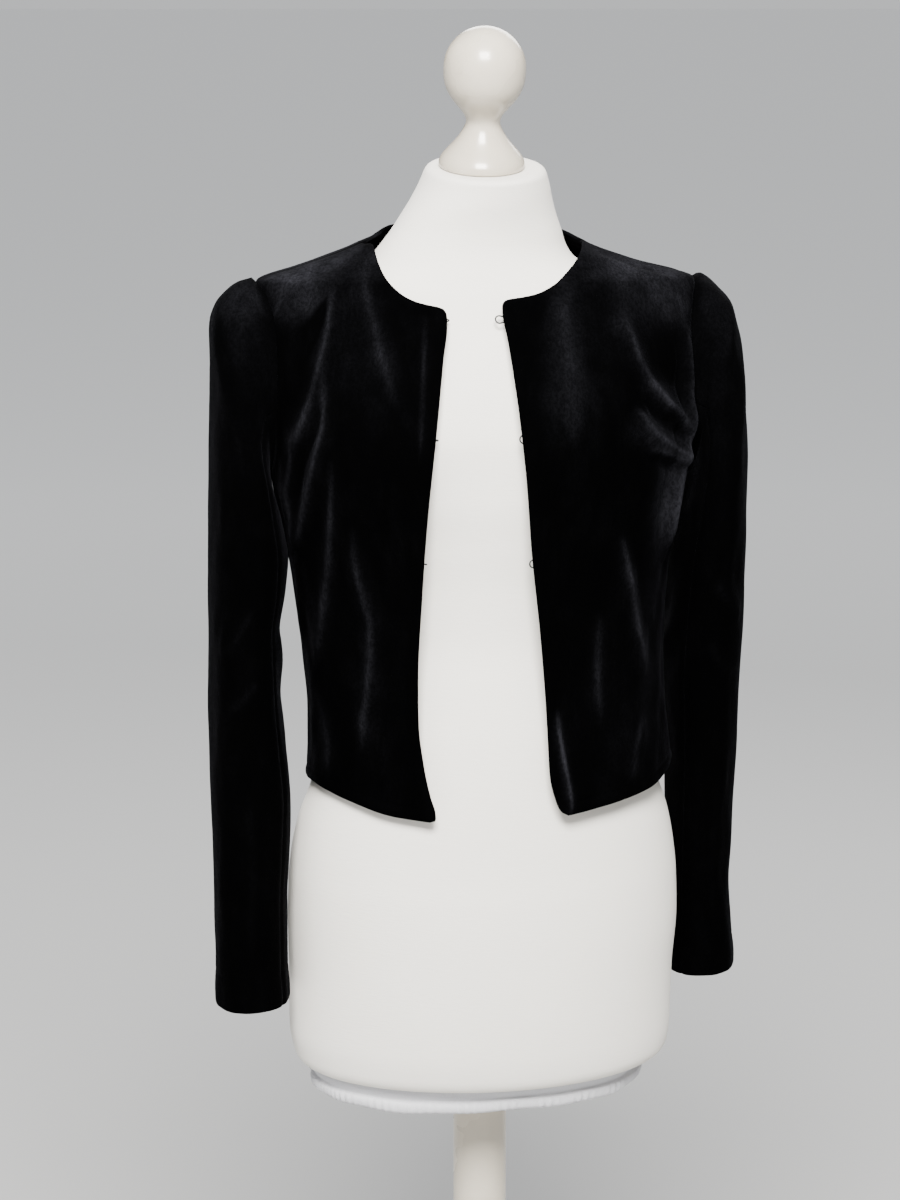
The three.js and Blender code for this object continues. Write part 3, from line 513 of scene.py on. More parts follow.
# Painted sheen: patches of painted highlight over the shoulders, the bust and the fronts. The one with a
# negative amount is painted shade beside the top of a fold.
BODY_SHEEN_AND_SHADE_PATCHES = [
    (-1, 0.2, -164, 1296, 24, 20, 0.4), (-1, 0.18, -130, 1316, 28, 16, 0.9),
    (-1, 0.13, -154, 1277, 20, 14, 1.0), (-1, 0.2, 128, 1308, 42, 18, -0.6),
    (-1, 0.16, 160, 1288, 20, 20, 0.0), (-1, 0.14, 152, 1274, 26, 16, -0.7),
    (-1, 0.07, 58, 1264, 13, 60, 0.02), (-1, 0.06, 55, 1207, 20, 24, 0.0), (-1, 0.05, 108, 1262, 24, 26, 0.3),
    (-1, -0.12, -140, 1270, 7, 20, 0.6),
    (-1, 0.16, 134, 1170, 17, 11, -0.5), (-1, 0.20, 145, 1112, 10, 34, 0.05),
    (-1, 0.07, 136, 985, 9, 75, 0.0), (-1, 0.02, 100, 930, 34, 60, 0.0),
    (-1, 0.02, -96, 1248, 9, 46, -0.3), (-1, 0.025, -112, 1250, 26, 60, 0.0),
    (-1, 0.012, -104, 960, 26, 90, 0.0),
    (1, 0.26, -140, 1300, 44, 22, 0.6), (1, 0.26, 132, 1300, 44, 22, -0.6), (1, 0.08, 0, 1262, 110, 36, 0.0),
    (1, 0.06, -70, 1180, 34, 60, 0.2), (1, 0.06, 72, 1176, 34, 60, -0.2), (1, 0.04, 0, 960, 90, 50, 0.0),
]
WAVES = [
    (0.7, 61, 214, 0.4), (0.55, 38, -133, 1.7), (0.45, -97, 88, 2.9), (0.3, 29, 71, 0.9),
    (0.25, -23, 57, 4.1),
]
BUST = {"x": 76, "z": 1172, "wide": 50, "tall": 58}


def waves(a, b):
    """Slight unevenness that any hanging cloth has."""
    return sum(high * np.sin(a * 2 * math.pi / wa + b * 2 * math.pi / wb + start)
               for high, wa, wb, start in WAVES)


def bust_swell(x, z, full):
    across, up = (np.abs(x) - BUST["x"]) / BUST["wide"], (z - BUST["z"]) / BUST["tall"]
    return full * np.exp(-across ** 2 - up ** 2)


def coat_form(angle, z):
    """The blazer's outer face before its folds."""
    points = oval(COAT, angle, z)
    facing = np.cos(angle)
    swell = np.where(facing > 0, bust_swell(points[..., 0], points[..., 2], 5), 0)
    points[..., 1] -= swell * np.minimum(1, np.abs(facing) * 3.2)
    return points


def coat_normal(angle, z):
    round_it = coat_form(angle + 0.004, z) - coat_form(angle - 0.004, z)
    up_it = coat_form(angle, z + 0.4) - coat_form(angle, z - 0.4)
    normal = np.cross(round_it, up_it)
    return normal / np.linalg.norm(normal, axis=-1, keepdims=True)


print(len(BODY_FOLDS), "folds on the body")

# %% [markdown]
# ## A cloth piece from a grid
# A cut piece of cloth has four sides once its corners are chosen, so each piece starts as a flat grid with
# that many squares. Its points are then laid between the four sides (a Coons patch), and pushed out by the
# folds. Near a seam the cloth dips, because the stitches pull it in, and along a free edge it is a little
# fuller, because there it is folded back on itself. Solidify gives the wall, and a bevel rounds the edges
# of its rim and no others.

# %% Make the helpers for cloth
def deselect_all():
    bpy.ops.object.select_all(action="DESELECT")


def ease(count, strength=0.25):
    """Steps from 0 to 1 that are closer together at both ends."""
    t = np.linspace(0, 1, count + 1)
    return t - strength / (2 * math.pi) * np.sin(2 * math.pi * t)


def resample(path, shares, measure):
    """Points on a path at shares of its real length."""
    path = np.asarray(path, float)
    real = measure(path[:, 0], path[:, 1])
    steps = np.linalg.norm(np.diff(real, axis=0), axis=1)
    length = np.concatenate([[0], np.cumsum(steps)])
    at = np.asarray(shares) * length[-1]
    return np.stack([np.interp(at, length, path[:, 0]), np.interp(at, length, path[:, 1])], axis=-1)


def coons(bottom, top, left, right, u, v):
    """Fill the space between four sides. bottom and top run along u, left and right along v."""
    u, v = u[None, :, None], v[:, None, None]
    sides = (1 - v) * bottom[None] + v * top[None] + (1 - u) * left[:, None] + u * right[:, None]
    corners = (
        (1 - u) * (1 - v) * bottom[0] + u * (1 - v) * bottom[-1] + (1 - u) * v * top[0] + u * v * top[-1]
    )
    return sides - corners


def distance_to(lines, points):
    """How far each point of a laid grid is from the nearest point of some lines."""
    nearest = np.full(points.shape[:2], np.inf)
    for place in np.concatenate(lines):
        nearest = np.minimum(nearest, ((points - place) ** 2).sum(axis=-1))
    return np.sqrt(nearest)


def seam_dip(distance, deep=0.9, wide=2.6):
    return -deep * np.exp(-(distance / wide) ** 2)


def turned_edge(distance, width=10.0):
    """A folded edge: full and soft at the rim, with a faint step where the turning ends."""
    pad = 0.55 * np.exp(-((distance - width * 0.45) / (width * 0.38)) ** 2)
    step = -0.3 * np.exp(-((distance - width) / 1.4) ** 2)
    roll = -0.5 * np.exp(-(distance / 1.2) ** 2)
    return pad + step + roll


def lay_grid(name, points, material, painted_sheen=None):
    """Add a grid with as many squares as the points have and lay it on them (millimetres in)."""
    rows, columns = points.shape[0] - 1, points.shape[1] - 1
    deselect_all()
    bpy.ops.mesh.primitive_grid_add(x_subdivisions=columns, y_subdivisions=rows, size=2)
    piece = bpy.context.object
    piece.name = piece.data.name = name
    flat = np.empty(len(piece.data.vertices) * 3)
    piece.data.vertices.foreach_get("co", flat)
    flat = flat.reshape(-1, 3)
    column = np.rint((flat[:, 0] + 1) / 2 * columns).astype(int)
    row = np.rint((flat[:, 1] + 1) / 2 * rows).astype(int)
    piece.data.vertices.foreach_set("co", (points[row, column] * MM).ravel())
    piece.data.update()
    piece.data.materials.append(material)
    # The painted sheen goes onto each point as an attribute.
    if painted_sheen is not None:
        sheen_paint = piece.data.attributes.new("painted_sheen", "FLOAT", "POINT")
        sheen_paint.data.foreach_set("value", np.clip(painted_sheen, 0, 1.2)[row, column])
    return piece


def add_wall(piece, thickness=CLOTH, rim=0.75, segments=3):
    """Give a sheet its wall, inward from the laid face, and round both edges of its rim."""
    count, used = len(piece.data.vertices), np.empty(len(piece.data.loops), int)
    piece.data.loops.foreach_get("edge_index", used)
    ends = np.empty(len(piece.data.edges) * 2, int)
    piece.data.edges.foreach_get("vertices", ends)
    at_rim = np.zeros(count, bool)
    at_rim[ends.reshape(-1, 2)[np.bincount(used) == 1].ravel()] = True
    deselect_all()
    piece.select_set(True)
    bpy.context.view_layer.objects.active = piece
    wall = piece.modifiers.new("wall", "SOLIDIFY")
    wall.thickness = thickness * MM
    wall.offset = -1
    wall.use_quality_normals = True
    bpy.ops.object.modifier_apply(modifier=wall.name)
    ends = np.empty(len(piece.data.edges) * 2, int)
    piece.data.edges.foreach_get("vertices", ends)
    first, second = ends.reshape(-1, 2).T
    rim_edges = at_rim[first % count] & at_rim[second % count] & ((first < count) == (second < count))
    weights = piece.data.attributes.new("bevel_weight_edge", "FLOAT", "EDGE")
    weights.data.foreach_set("value", rim_edges.astype(float))
    rounding = piece.modifiers.new("rim", "BEVEL")
    rounding.limit_method = "WEIGHT"
    rounding.width = rim * MM
    rounding.segments = segments
    bpy.ops.object.modifier_apply(modifier=rounding.name)
    bpy.ops.object.shade_smooth()
    return piece


def sheet_area(points):
    """Area of a laid grid in square metres."""
    a = points[1:, 1:] - points[:-1, :-1]
    b = points[1:, :-1] - points[:-1, 1:]
    return float(np.linalg.norm(np.cross(a, b), axis=2).sum() / 2 * MM * MM)


# %% [markdown]
# ## Fronts
# Each front is one piece: the open edge and the jewel neckline on one side, the side seam and the armhole
# on the other. The shoulder seam makes its top. The edges are turned in and faced, and the
# turning shows as a faint line about a centimetre inside the edge.

# %% Cut and lay the two fronts
def armhole(turn):
    """The armhole by the turn round the sleeve: height, and how far it lies from the shoulder line."""
    z = (SHOULDER_TIP + ARMPIT) / 2 + (SHOULDER_TIP - ARMPIT) / 2 * np.cos(turn)
    reach = np.sin(turn)
    return z, np.where(reach >= 0, -ARM_REACH["front"] * reach, -ARM_REACH["back"] * reach)


def armhole_side(sign, toward, count=90):
    """The armhole as angles and heights on the body, from the armpit up to the shoulder tip."""
    turn = np.linspace(math.pi, 0, count)
    z, y = armhole(turn if toward < 0 else 2 * math.pi - turn)
    depth = smooth(COAT, "z", "front" if toward < 0 else "back", z)
    angle = sign * np.arccos(np.clip(-y / depth, -1, 1))
    return np.stack([angle, z], axis=-1)


def angle_of(x, z):
    share = (x - smooth(COAT, "z", "mid", z)) / smooth(COAT, "z", "wide", z)
    return np.arcsin(np.clip(share, -1, 1))


def laid_body(chart, free_lines, seam_lines):
    """Put the chart of a body piece on the blazer's form, with its folds, seams and turned edges."""
    angle, z = chart[..., 0], chart[..., 1]
    base = coat_form(angle, z)
    normal = coat_normal(angle, z)
    free = distance_to([coat_form(*line.T) for line in free_lines], base)
    sewn = distance_to([coat_form(*line.T) for line in seam_lines], base)
    x, level = base[..., 0], base[..., 2]
    toward = np.cos(angle)
    fade = np.minimum(1, np.abs(toward) * 4.5)
    (front, front_crest_sheen), (behind, behind_crest_sheen) = folds(BODY_FOLDS, -1, x, level), folds(BODY_FOLDS, 1, x, level)
    height = np.where(toward > 0, front, behind) * fade + 0.7 * waves(angle * 140, z)
    calm = 1 - np.exp(-(sewn / 7) ** 2)
    near_edge = 1 - 0.6 * np.exp(-(free / 14) ** 2)
    height = height * calm * near_edge + turned_edge(free) + seam_dip(sewn)
    # Painted sheen: the crest lines and patches, calmer near seams, and a painted highlight where the cloth
    # faces up, as if lit from above.
    sheen_paint = np.where(toward > 0, front_crest_sheen * fade + painted_light_patches(BODY_SHEEN_AND_SHADE_PATCHES, -1, x, level),
                   behind_crest_sheen * fade + painted_light_patches(BODY_SHEEN_AND_SHADE_PATCHES, 1, x, level))
    facing_up_sheen = np.clip((normal[..., 2] - 0.45) / 0.5, 0, 1)
    sheen_paint = sheen_paint * (0.6 + 0.4 * calm) + 0.2 * facing_up_sheen * facing_up_sheen * calm
    return base + normal * height[..., None], sheen_paint


INNER_PACE = 1.5


def front_chart(side, rows, columns):
    """Angles and heights of a front's grid. Its rows climb the open edge slowly at first, so none cross."""
    sign = SIDES[side]
    u, v = ease(columns), ease(rows)
    seam = sign * math.pi / 2
    heights = np.linspace(EDGE[side]["z"][0], EDGE[side]["z"][-1], 200)
    edge = np.stack([angle_of(smooth(EDGE[side], "z", "x", heights), heights), heights], axis=-1)
    low = edge[0, 0]
    angles = np.linspace(low, seam, 120)
    hem = np.stack([angles, smooth(HEM, "angle", "z", angles / DEGREE)], axis=-1)
    edge[0, 1] = hem[0, 1]
    side_heights = np.linspace(hem[-1, 1], ARMPIT, 60)
    side_seam = np.stack([np.full(60, seam), side_heights], axis=-1)
    outer = np.concatenate([side_seam[:-1], armhole_side(sign, -1)])
    neck_x, neck_z = NECKLINE[side]["x"], NECKLINE[side]["z"]
    share = np.linspace(0, len(neck_x) - 1, 60)
    number = {"k": np.arange(len(neck_x), dtype=float), "x": neck_x, "z": neck_z}
    line_x, line_z = smooth(number, "k", "x", share), smooth(number, "k", "z", share)
    neck = np.stack([angle_of(line_x, line_z), line_z], axis=-1)
    drop = np.linspace(NECK_POINT, SHOULDER_TIP, 60)
    shoulder = np.stack([np.full(60, seam), drop], axis=-1)
    shoulder[-1] = outer[-1]
    chart = coons(
        resample(hem, u, coat_form), resample(np.concatenate([neck[-1:], shoulder]), u, coat_form),
        resample(np.concatenate([edge, neck[1:]]), v ** INNER_PACE, coat_form), resample(outer, v, coat_form),
        u, v,
    )
    return chart if sign > 0 else chart[:, ::-1]


ROWS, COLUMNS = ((264, 144))
for side in SIDES:
    chart = front_chart(side, ROWS, COLUMNS)
    inner, outer = (0, -1) if side == "left" else (-1, 0)
    points, sheen_paint = laid_body(
        chart, free_lines=[chart[:, inner], chart[0]], seam_lines=[chart[:, outer], chart[-1]])
    name = f"velvet_front_{side}"
    sheet_area(points)
    add_wall(lay_grid(name, points, velvet.material, sheen_paint))

# %% [markdown]
# ## Back
# The photograph doesn't show the back, so it has only what such a back must have: one piece with the back
# neckline, two shoulder seams, two armholes, two side seams, and soft folds where it hangs over the waist.

# %% Cut and lay the back
def back_chart(rows, columns):
    """Angles and heights of the back's grid, and which columns end on the neckline."""
    u, v = ease(columns), ease(rows)
    seam = math.pi / 2
    angles = np.linspace(seam, 2 * math.pi - seam, 200)
    turned = angles / DEGREE
    hem_z = smooth(HEM, "angle", "z", np.where(turned > 180, turned - 360, turned))
    hem = np.stack([angles, hem_z], axis=-1)
    sides = []
    for start in (hem[0], hem[-1]):
        heights = np.linspace(start[1], ARMPIT, 60)
        up = np.stack([np.full(60, start[0]), heights], axis=-1)
        curve = armhole_side(1, 1)
        if start[0] > math.pi:
            curve = np.stack([2 * math.pi - curve[:, 0], curve[:, 1]], axis=-1)
        sides.append(np.concatenate([up[:-1], curve]))
    rise = np.linspace(SHOULDER_TIP, NECK_POINT, 50)
    first = np.stack([np.full(50, seam), rise], axis=-1)
    across = np.linspace(seam, 2 * math.pi - seam, 160)
    lift = np.clip(np.minimum(across - seam, 2 * math.pi - seam - across) / (34 * DEGREE), 0, 1)
    neck = np.stack([across, NECK_POINT + (BACK_NECK - NECK_POINT) * lift * (2 - lift)], axis=-1)
    last = np.stack([2 * math.pi - first[::-1, 0], first[::-1, 1]], axis=-1)
    first[0], last[-1] = sides[0][-1], sides[1][-1]
    top_line = resample(np.concatenate([first, neck[1:-1], last]), u, coat_form)
    on_neck = (top_line[:, 0] > seam + 0.02) & (top_line[:, 0] < 2 * math.pi - seam - 0.02)
    chart = coons(
        resample(hem, u, coat_form), top_line, resample(sides[0], v, coat_form),
        resample(sides[1], v, coat_form), u, v,
    )
    return chart, on_neck


chart, on_neck = back_chart(ROWS - 40, int(COLUMNS * 1.2))
points, sheen_paint = laid_body(
    chart, free_lines=[chart[0], chart[-1][on_neck]],
    seam_lines=[chart[:, 0], chart[:, -1], chart[-1][~on_neck]])
sheet_area(points)
add_wall(lay_grid("velvet_back", points, velvet.material, sheen_paint))

# %% [markdown]
# ## Sleeves
# A two-piece sleeve has a wide top piece and a narrow under piece, joined by a forearm seam and an elbow
# seam. Its head is cut longer than the armhole and eased in, so it stands a little above the shoulder. The
# rows below go from the armhole to the cuff: the point over the arm, the point under it, the middle in Y
# and the half depth, in millimetres.

# %% Write down the sleeves
SLEEVE_ROWS = {
    "right": table("out_x out_z in_x in_z y deep", [
        (-191.5, 1295.4, -180.2, 1131, 4, 56), (-202, 1292, -179.2, 1127, 4, 59),
        (-214, 1283.5, -178, 1122, 3, 62), (-223, 1272, -176.3, 1116, 3, 64),
        (-227, 1252, -174.3, 1109, 3, 66), (-227.5, 1224, -172, 1101, 3, 67),
        (-228.2, 1188, -169.6, 1091, 4, 67), (-229.5, 1144, -167.2, 1078, 4, 66),
        (-231, 1096, -164.8, 1062, 4, 64), (-232, 1046, -167.5, 1034, 3, 62),
        (-233, 998, -173.5, 996, 0, 60), (-234, 950, -173, 950, -6, 57),
        (-234.5, 905, -169.8, 905, -12, 53), (-234.5, 860, -166.5, 860, -19, 50),
        (-234, 815, -169, 815, -25, 47), (-233.5, 770, -171.7, 770, -30, 44.5),
        (-233.5, 722, -172, 722, -34, 42.5), (-234, 682, -170.8, 686, -37, 41),
    ]),
    "left": table("out_x out_z in_x in_z y deep", [
        (187, 1294.5, 178.8, 1131, 4, 56), (193, 1291, 177.8, 1127, 5, 59),
        (202, 1283, 176.8, 1122, 6, 62), (211.5, 1272, 175.6, 1116, 6, 64),
        (216.5, 1249, 174.4, 1109, 7, 66), (221.5, 1222, 173, 1101, 8, 67),
        (225.5, 1186, 171, 1091, 9, 67), (227.5, 1142, 169.6, 1078, 10, 66),
        (227.6, 1095, 167, 1062, 11, 64), (227.6, 1046, 165.5, 1034, 13, 62),
        (228.2, 998, 164.5, 996, 15, 60), (227.3, 950, 165, 950, 18, 57),
        (227, 905, 168, 905, 20, 53), (226.5, 860, 170, 860, 23, 50),
        (225.6, 815, 171, 815, 25, 47), (225.5, 770, 171.5, 770, 27, 44.5),
        (229.3, 722, 172, 722, 28, 42.5), (233.4, 676, 173, 672, 29, 41),
    ]),
}
for rows in SLEEVE_ROWS.values():
    rows["k"] = np.arange(1.0, len(rows["y"]) + 1)

FOREARM_SEAM = (106, 138)
ELBOW_SEAM = (254, 238)
SLEEVE_CURVE = 0.9

# Folds of the sleeves: height and width of the ridge, lean, and a route of places round the arm and heights
SLEEVE_FOLDS = {
    "right": [
        (1.6, 9, 0.0, [(18, 1268), (34, 1236), (58, 1196), (82, 1150)]),
        (1.3, 8, 0.0, [(-14, 1276), (-26, 1240), (-40, 1190)]),
        (1.5, 11, 0.1, [(30, 1190), (44, 1120), (52, 1030), (50, 930), (42, 820), (40, 720)]),
        (2.2, 9, 0.2, [(96, 1030), (74, 1002), (46, 984)]),
        (2.0, 9, -0.2, [(104, 968), (80, 950), (56, 942)]),
        (2.4, 10, 0.1, [(150, 1000), (178, 970), (206, 956)]),
        (1.6, 10, 0.0, [(-60, 1050), (-84, 985), (-96, 930)]),
        (1.2, 12, 0.0, [(84, 880), (88, 800), (84, 720)]),
    ],
    "left": [
        (1.6, 9, 0.0, [(14, 1262), (30, 1232), (52, 1190), (76, 1140)]),
        (1.3, 8, 0.0, [(-12, 1270), (-28, 1236), (-42, 1186)]),
        (1.7, 10, -0.1, [(26, 1180), (30, 1100), (34, 1010), (30, 920), (26, 830), (24, 730)]),
        (2.4, 9, 0.2, [(98, 1040), (72, 1016), (44, 1004)]),
        (2.0, 8, -0.2, [(102, 985), (78, 962), (58, 950)]),
        (2.2, 10, 0.1, [(150, 1006), (176, 976), (204, 962)]),
        (1.6, 10, 0.0, [(-62, 1040), (-82, 980), (-94, 920)]),
        (1.2, 12, 0.0, [(80, 870), (84, 790), (82, 710)]),
    ],
}


def fuller(value):
    """A sine or cosine, made a little fuller so that a sleeve's section is fuller than an ellipse."""
    return np.sign(value) * np.abs(value) ** SLEEVE_CURVE


def sleeve_form(side, place, along):
    """A sleeve's outer face by the place round it in degrees and the row along it."""
    sign, rows = SIDES[side], SLEEVE_ROWS[side]
    turn = place * DEGREE
    up, forward = np.cos(turn), np.sin(turn)
    at = np.maximum(1, along)
    out_x, in_x = smooth(rows, "k", "out_x", at), smooth(rows, "k", "in_x", at)
    out_z, in_z = smooth(rows, "k", "out_z", at), smooth(rows, "k", "in_z", at)
    ring = np.stack([
        (out_x + in_x) / 2 + (out_x - in_x) / 2 * fuller(up),
        smooth(rows, "k", "y", at) - smooth(rows, "k", "deep", at) * fuller(forward),
        (out_z + in_z) / 2 + (out_z - in_z) / 2 * up,
    ], axis=-1)
    z, y = armhole(turn)
    depth = np.where(y <= 0, smooth(COAT, "z", "front", z), smooth(COAT, "z", "back", z))
    start = coat_form(sign * np.arccos(np.clip(-y / depth, -1, 1)), z)
    share = np.clip(along, 0, 1)[..., None]
    return start + (ring - start) * share


def sleeve_normal(side, place, along):
    low, high = np.maximum(along - 0.02, 0), np.minimum(along + 0.02, len(SLEEVE_ROWS[side]["k"]))
    round_it = sleeve_form(side, place + 0.3, along) - sleeve_form(side, place - 0.3, along)
    down_it = sleeve_form(side, place, high) - sleeve_form(side, place, low)
    normal = np.cross(round_it, down_it) * SIDES[side]
    normal = normal / np.linalg.norm(normal, axis=-1, keepdims=True)
    z, y = armhole(place * DEGREE)
    depth = np.where(y <= 0, smooth(COAT, "z", "front", z), smooth(COAT, "z", "back", z))
    body_normal = coat_normal(SIDES[side] * np.arccos(np.clip(-y / depth, -1, 1)), z)
    share = np.clip(along / 1.6, 0, 1)[..., None]
    normal = body_normal + (normal - body_normal) * share * share * (3 - 2 * share)
    return normal / np.linalg.norm(normal, axis=-1, keepdims=True)


def sleeve_rows_along(side, spacing):
    """Rows along the sleeve at about even distances, with closer ones at the head and the cuff."""
    last = float(len(SLEEVE_ROWS[side]["k"]))
    fine = np.linspace(0, last, 400)
    line = sleeve_form(side, np.full(400, 30.0), fine)
    length = np.concatenate([[0], np.cumsum(np.linalg.norm(np.diff(line, axis=0), axis=1))])
    count = int(length[-1] / spacing)
    return np.interp(ease(count, 0.7) * length[-1], length, fine)


def laid_sleeve(side, is_top, spacing, columns):
    """Points and painted sheen of the top or the under piece of a sleeve, with its folds and seams."""
    along = sleeve_rows_along(side, spacing)[:, None]
    share = np.minimum(1, along / 12)
    front = FOREARM_SEAM[0] + (FOREARM_SEAM[1] - FOREARM_SEAM[0]) * share
    back = ELBOW_SEAM[0] + (ELBOW_SEAM[1] - ELBOW_SEAM[0]) * share
    first, last = (back - 360, front) if is_top else (front, back)
    place = first + (last - first) * ease(columns)[None, :]
    along = along + 0 * place
    base = sleeve_form(side, place, along)
    normal = sleeve_normal(side, place, along)
    from_head = distance_to([base[0]], base)
    height = waves(place * 0.9, base[..., 2]) * 0.35
    # Painted sheen: a soft painted highlight over the sleeve head, thin lines of it along the fold crests,
    # and more where the head faces up.
    sheen_paint = 0.018 * np.exp(-(from_head / 60) ** 2)
    for high, wide, lean, route in SLEEVE_FOLDS[side]:
        route = [(a * 0.9, z) for a, z in route]
        across, done = along_route(route, place * 0.9, base[..., 2])
        height = height + ridge(across, high, wide, lean) * fade_ends(done)
        sheen_paint = sheen_paint + 0.008 * high * crest_sheen_paint(across, wide) * fade_ends(done)
    height = height * (1 - np.exp(-(from_head / 12) ** 2))
    eased = np.exp(-np.abs(from_head - 7) / 7) * np.clip(np.cos(place * DEGREE), 0, 1) ** 0.5
    height = height + 0.45 * np.sin(place * DEGREE * 17) * eased * np.clip(from_head / 4, 0, 1)
    height = height * (1 - np.exp(-(distance_to([base[:, 0], base[:, -1]], base) / 7) ** 2))
    sewn = distance_to([base[0], base[:, 0], base[:, -1]], base)
    height = height + seam_dip(sewn) + turned_edge(distance_to([base[-1]], base), 28)
    facing_up_sheen = np.clip((normal[..., 2] - 0.25) / 0.6, 0, 1)
    sheen_paint = sheen_paint + 0.1 * facing_up_sheen * (1 - np.exp(-(from_head / 5) ** 2))
    points = base + normal * height[..., None]
    return (points, sheen_paint) if SIDES[side] > 0 else (points[:, ::-1], sheen_paint[:, ::-1])


SPACING = 3.2
for side in SIDES:
    for kind, columns in (("top", 84), ("under", 44)):
        name = f"velvet_{kind}_sleeve_{side}"
        points, sheen_paint = laid_sleeve(side, kind == "top", SPACING, columns)
        sheet_area(points)
        add_wall(lay_grid(name, points, velvet.material, sheen_paint))

# %% [markdown]
# ## The padded torso
# The form is foam under a stretched jersey cover, wholly smooth. It is one closed skin from the middle of
# the underside to the middle of the neck plate, so a grid is wrapped round it and its seam is merged.

# %% Wrap the torso
NECK_TILT = 0.2
FORM = table("z wide mid front back", [
    (611, 159, 1.5, 102, 111), (620, 165, 1.5, 107, 117), (645, 168.5, 0.5, 110.5, 121.5),
    (690, 169, 1, 112, 124), (740, 171, 2.5, 111, 125), (775, 170, 2.5, 109, 121),
    (800, 167.5, 2.5, 106, 116), (830, 161.5, 3, 103, 109), (860, 151, 3.5, 100, 102),
    (910, 138, 2.5, 95, 91), (955, 127, 1, 89, 83), (1000, 121, 0, 84, 79), (1040, 124, -1, 86, 83),
    (1080, 132, -1.5, 92, 90), (1120, 141, -2, 97, 96), (1160, 149, -2, 97, 101), (1200, 157, -2, 91, 105),
    (1235, 165, -2, 81, 104), (1262, 171, -2, 70, 98), (1276, 169, -2.5, 64.5, 91.5),
    (1286, 156, -4.5, 60.5, 85), (1293, 136, -6.5, 57, 80), (1299, 114, -8, 54.5, 76),
    (1304.5, 96, -8.5, 52, 72.5), (1310, 86.5, -8.5, 50, 69.5), (1317, 80.5, -8, 48, 65.5),
    (1324, 76, -6.8, 47, 62), (1332, 71.8, -4.8, 47, 59.5), (1345, 65.2, -2.8, 48.5, 54.5),
    (1359, 58.8, -0.2, 51, 49.5),
    (1372, 54, 2, 52.5, 46), (1386, 49, 3, 54, 43),
])
FORM_LOW, FORM_HIGH = 611.0, 1386.0


def torso(angle, z, inset):
    """A point of the torso, drawn in from its section by inset (a share from 0 to 1 on the two ends)."""
    points = oval(FORM, angle, z)
    full = np.cos(angle) > 0
    swell = bust_swell(points[..., 0], points[..., 2], 15) * np.minimum(1, np.cos(angle) * 2)
    points[..., 1] -= np.where(full, swell, 0)
    middle = np.stack([
        smooth(FORM, "z", "mid", z) + 0 * angle,
        (smooth(FORM, "z", "back", z) - smooth(FORM, "z", "front", z)) / 2 + 0 * angle,
        z + 0 * angle,
    ], axis=-1)
    points = middle + (points - middle) * (1 - inset)[..., None]
    tilt = np.maximum(0, (z - NECK_POINT) / (FORM_HIGH - NECK_POINT)) ** 1.5
    points[..., 2] += NECK_TILT * tilt * points[..., 1]
    return points


def torso_rows(step):
    """Heights and insets from the middle of the underside, round its rim, up, and over the neck plate."""
    shares = [(FORM_LOW, s) for s in (1, 0.9, 0.75, 0.55, 0.35, 0.18, 0.08, 0.035)]
    shares += [(FORM_LOW + h, s) for h, s in ((0.25, 0.018), (0.9, 0.008), (2.2, 0.002))]
    shares += [(z, 0.0) for z in np.arange(FORM_LOW + 4, FORM_HIGH - 6, step)]
    rim = ((5, 0.0), (3.4, 0.006), (2.1, 0.02), (1.0, 0.045), (0.3, 0.085))
    shares += [(FORM_HIGH - h, s) for h, s in rim]
    shares += [(FORM_HIGH, s) for s in (0.13, 0.2, 0.32, 0.5, 0.7, 0.88, 1)]
    return np.array(shares, float)


rows = torso_rows(4.0)
angle = np.linspace(0, 2 * math.pi, 161)[None, :] + 0 * rows[:, :1]
height = rows[:, :1] + 0 * angle
points = torso(angle, height, rows[:, 1:] + 0 * angle)
torso_piece = lay_grid("form_torso", points, jersey.material)


def close_tube(piece):
    """Merge the grid's seam and the rows that are one point, and turn all faces outward."""
    deselect_all()
    piece.select_set(True)
    bpy.context.view_layer.objects.active = piece
    bpy.ops.object.mode_set(mode="EDIT")
    bpy.ops.mesh.select_all(action="SELECT")
    bpy.ops.mesh.remove_doubles(threshold=0.00002)
    bpy.ops.mesh.normals_make_consistent(inside=False)
    bpy.ops.object.mode_set(mode="OBJECT")
    bpy.ops.object.shade_smooth()
    return len(piece.data.vertices)


print("torso points", close_tube(torso_piece))

# %% [markdown]
# ## The cover's gathered edge
# Under the torso the cover ends in a narrow, smooth band, painted a cooler, darker white as painted shade.
# Its lower edge is overlocked and drawn together, so it stands out a little as a roll of fine, uneven pleats.

# %% Gather the band
BAND_SECTION = table("z inset", [
    (610.7, 5.2), (608.5, 4.6), (605, 5.4), (602, 6.8), (599.6, 8), (598.4, 7.6), (597.6, 5.9), (596, 5),
    (593, 4.9), (590, 5.4), (588, 6.6), (586.8, 8.4), (586.5, 10.4), (587.6, 12), (590.5, 12.8), (595, 13.2),
    (600, 13.4), (606, 12), (609.8, 11), (610.7, 9), (610.7, 5.2),
])
around = 720
turn = np.linspace(0, 2 * math.pi, around + 1)
ribs = np.sin(turn * 118 + 2.2 * np.sin(turn * 5) + 1.3 * np.sin(turn * 11 + 1))
unevenness = 0.6 + 0.4 * np.sin(turn * 23 + 1.1 * np.sin(turn * 3))
rows, heights = BAND_SECTION["inset"][:, None], BAND_SECTION["z"][:, None]
in_roll = np.clip((599 - heights) / 3, 0, 1) * np.clip((13 - rows) / 5, 0, 1)
drawn_in = 6 + 4 * np.sin(turn) + 0.8 * np.sin(turn * 4 + 2)
loose = np.clip((606 - heights) / 14, 0, 1)
inset = rows + drawn_in[None, :] - ribs[None, :] * unevenness[None, :] * 0.55 * in_roll
angle = turn[None, :] + 0 * rows
front = np.cos(angle) >= 0
depth = np.where(front, FORM["front"][0], FORM["back"][0]) - inset
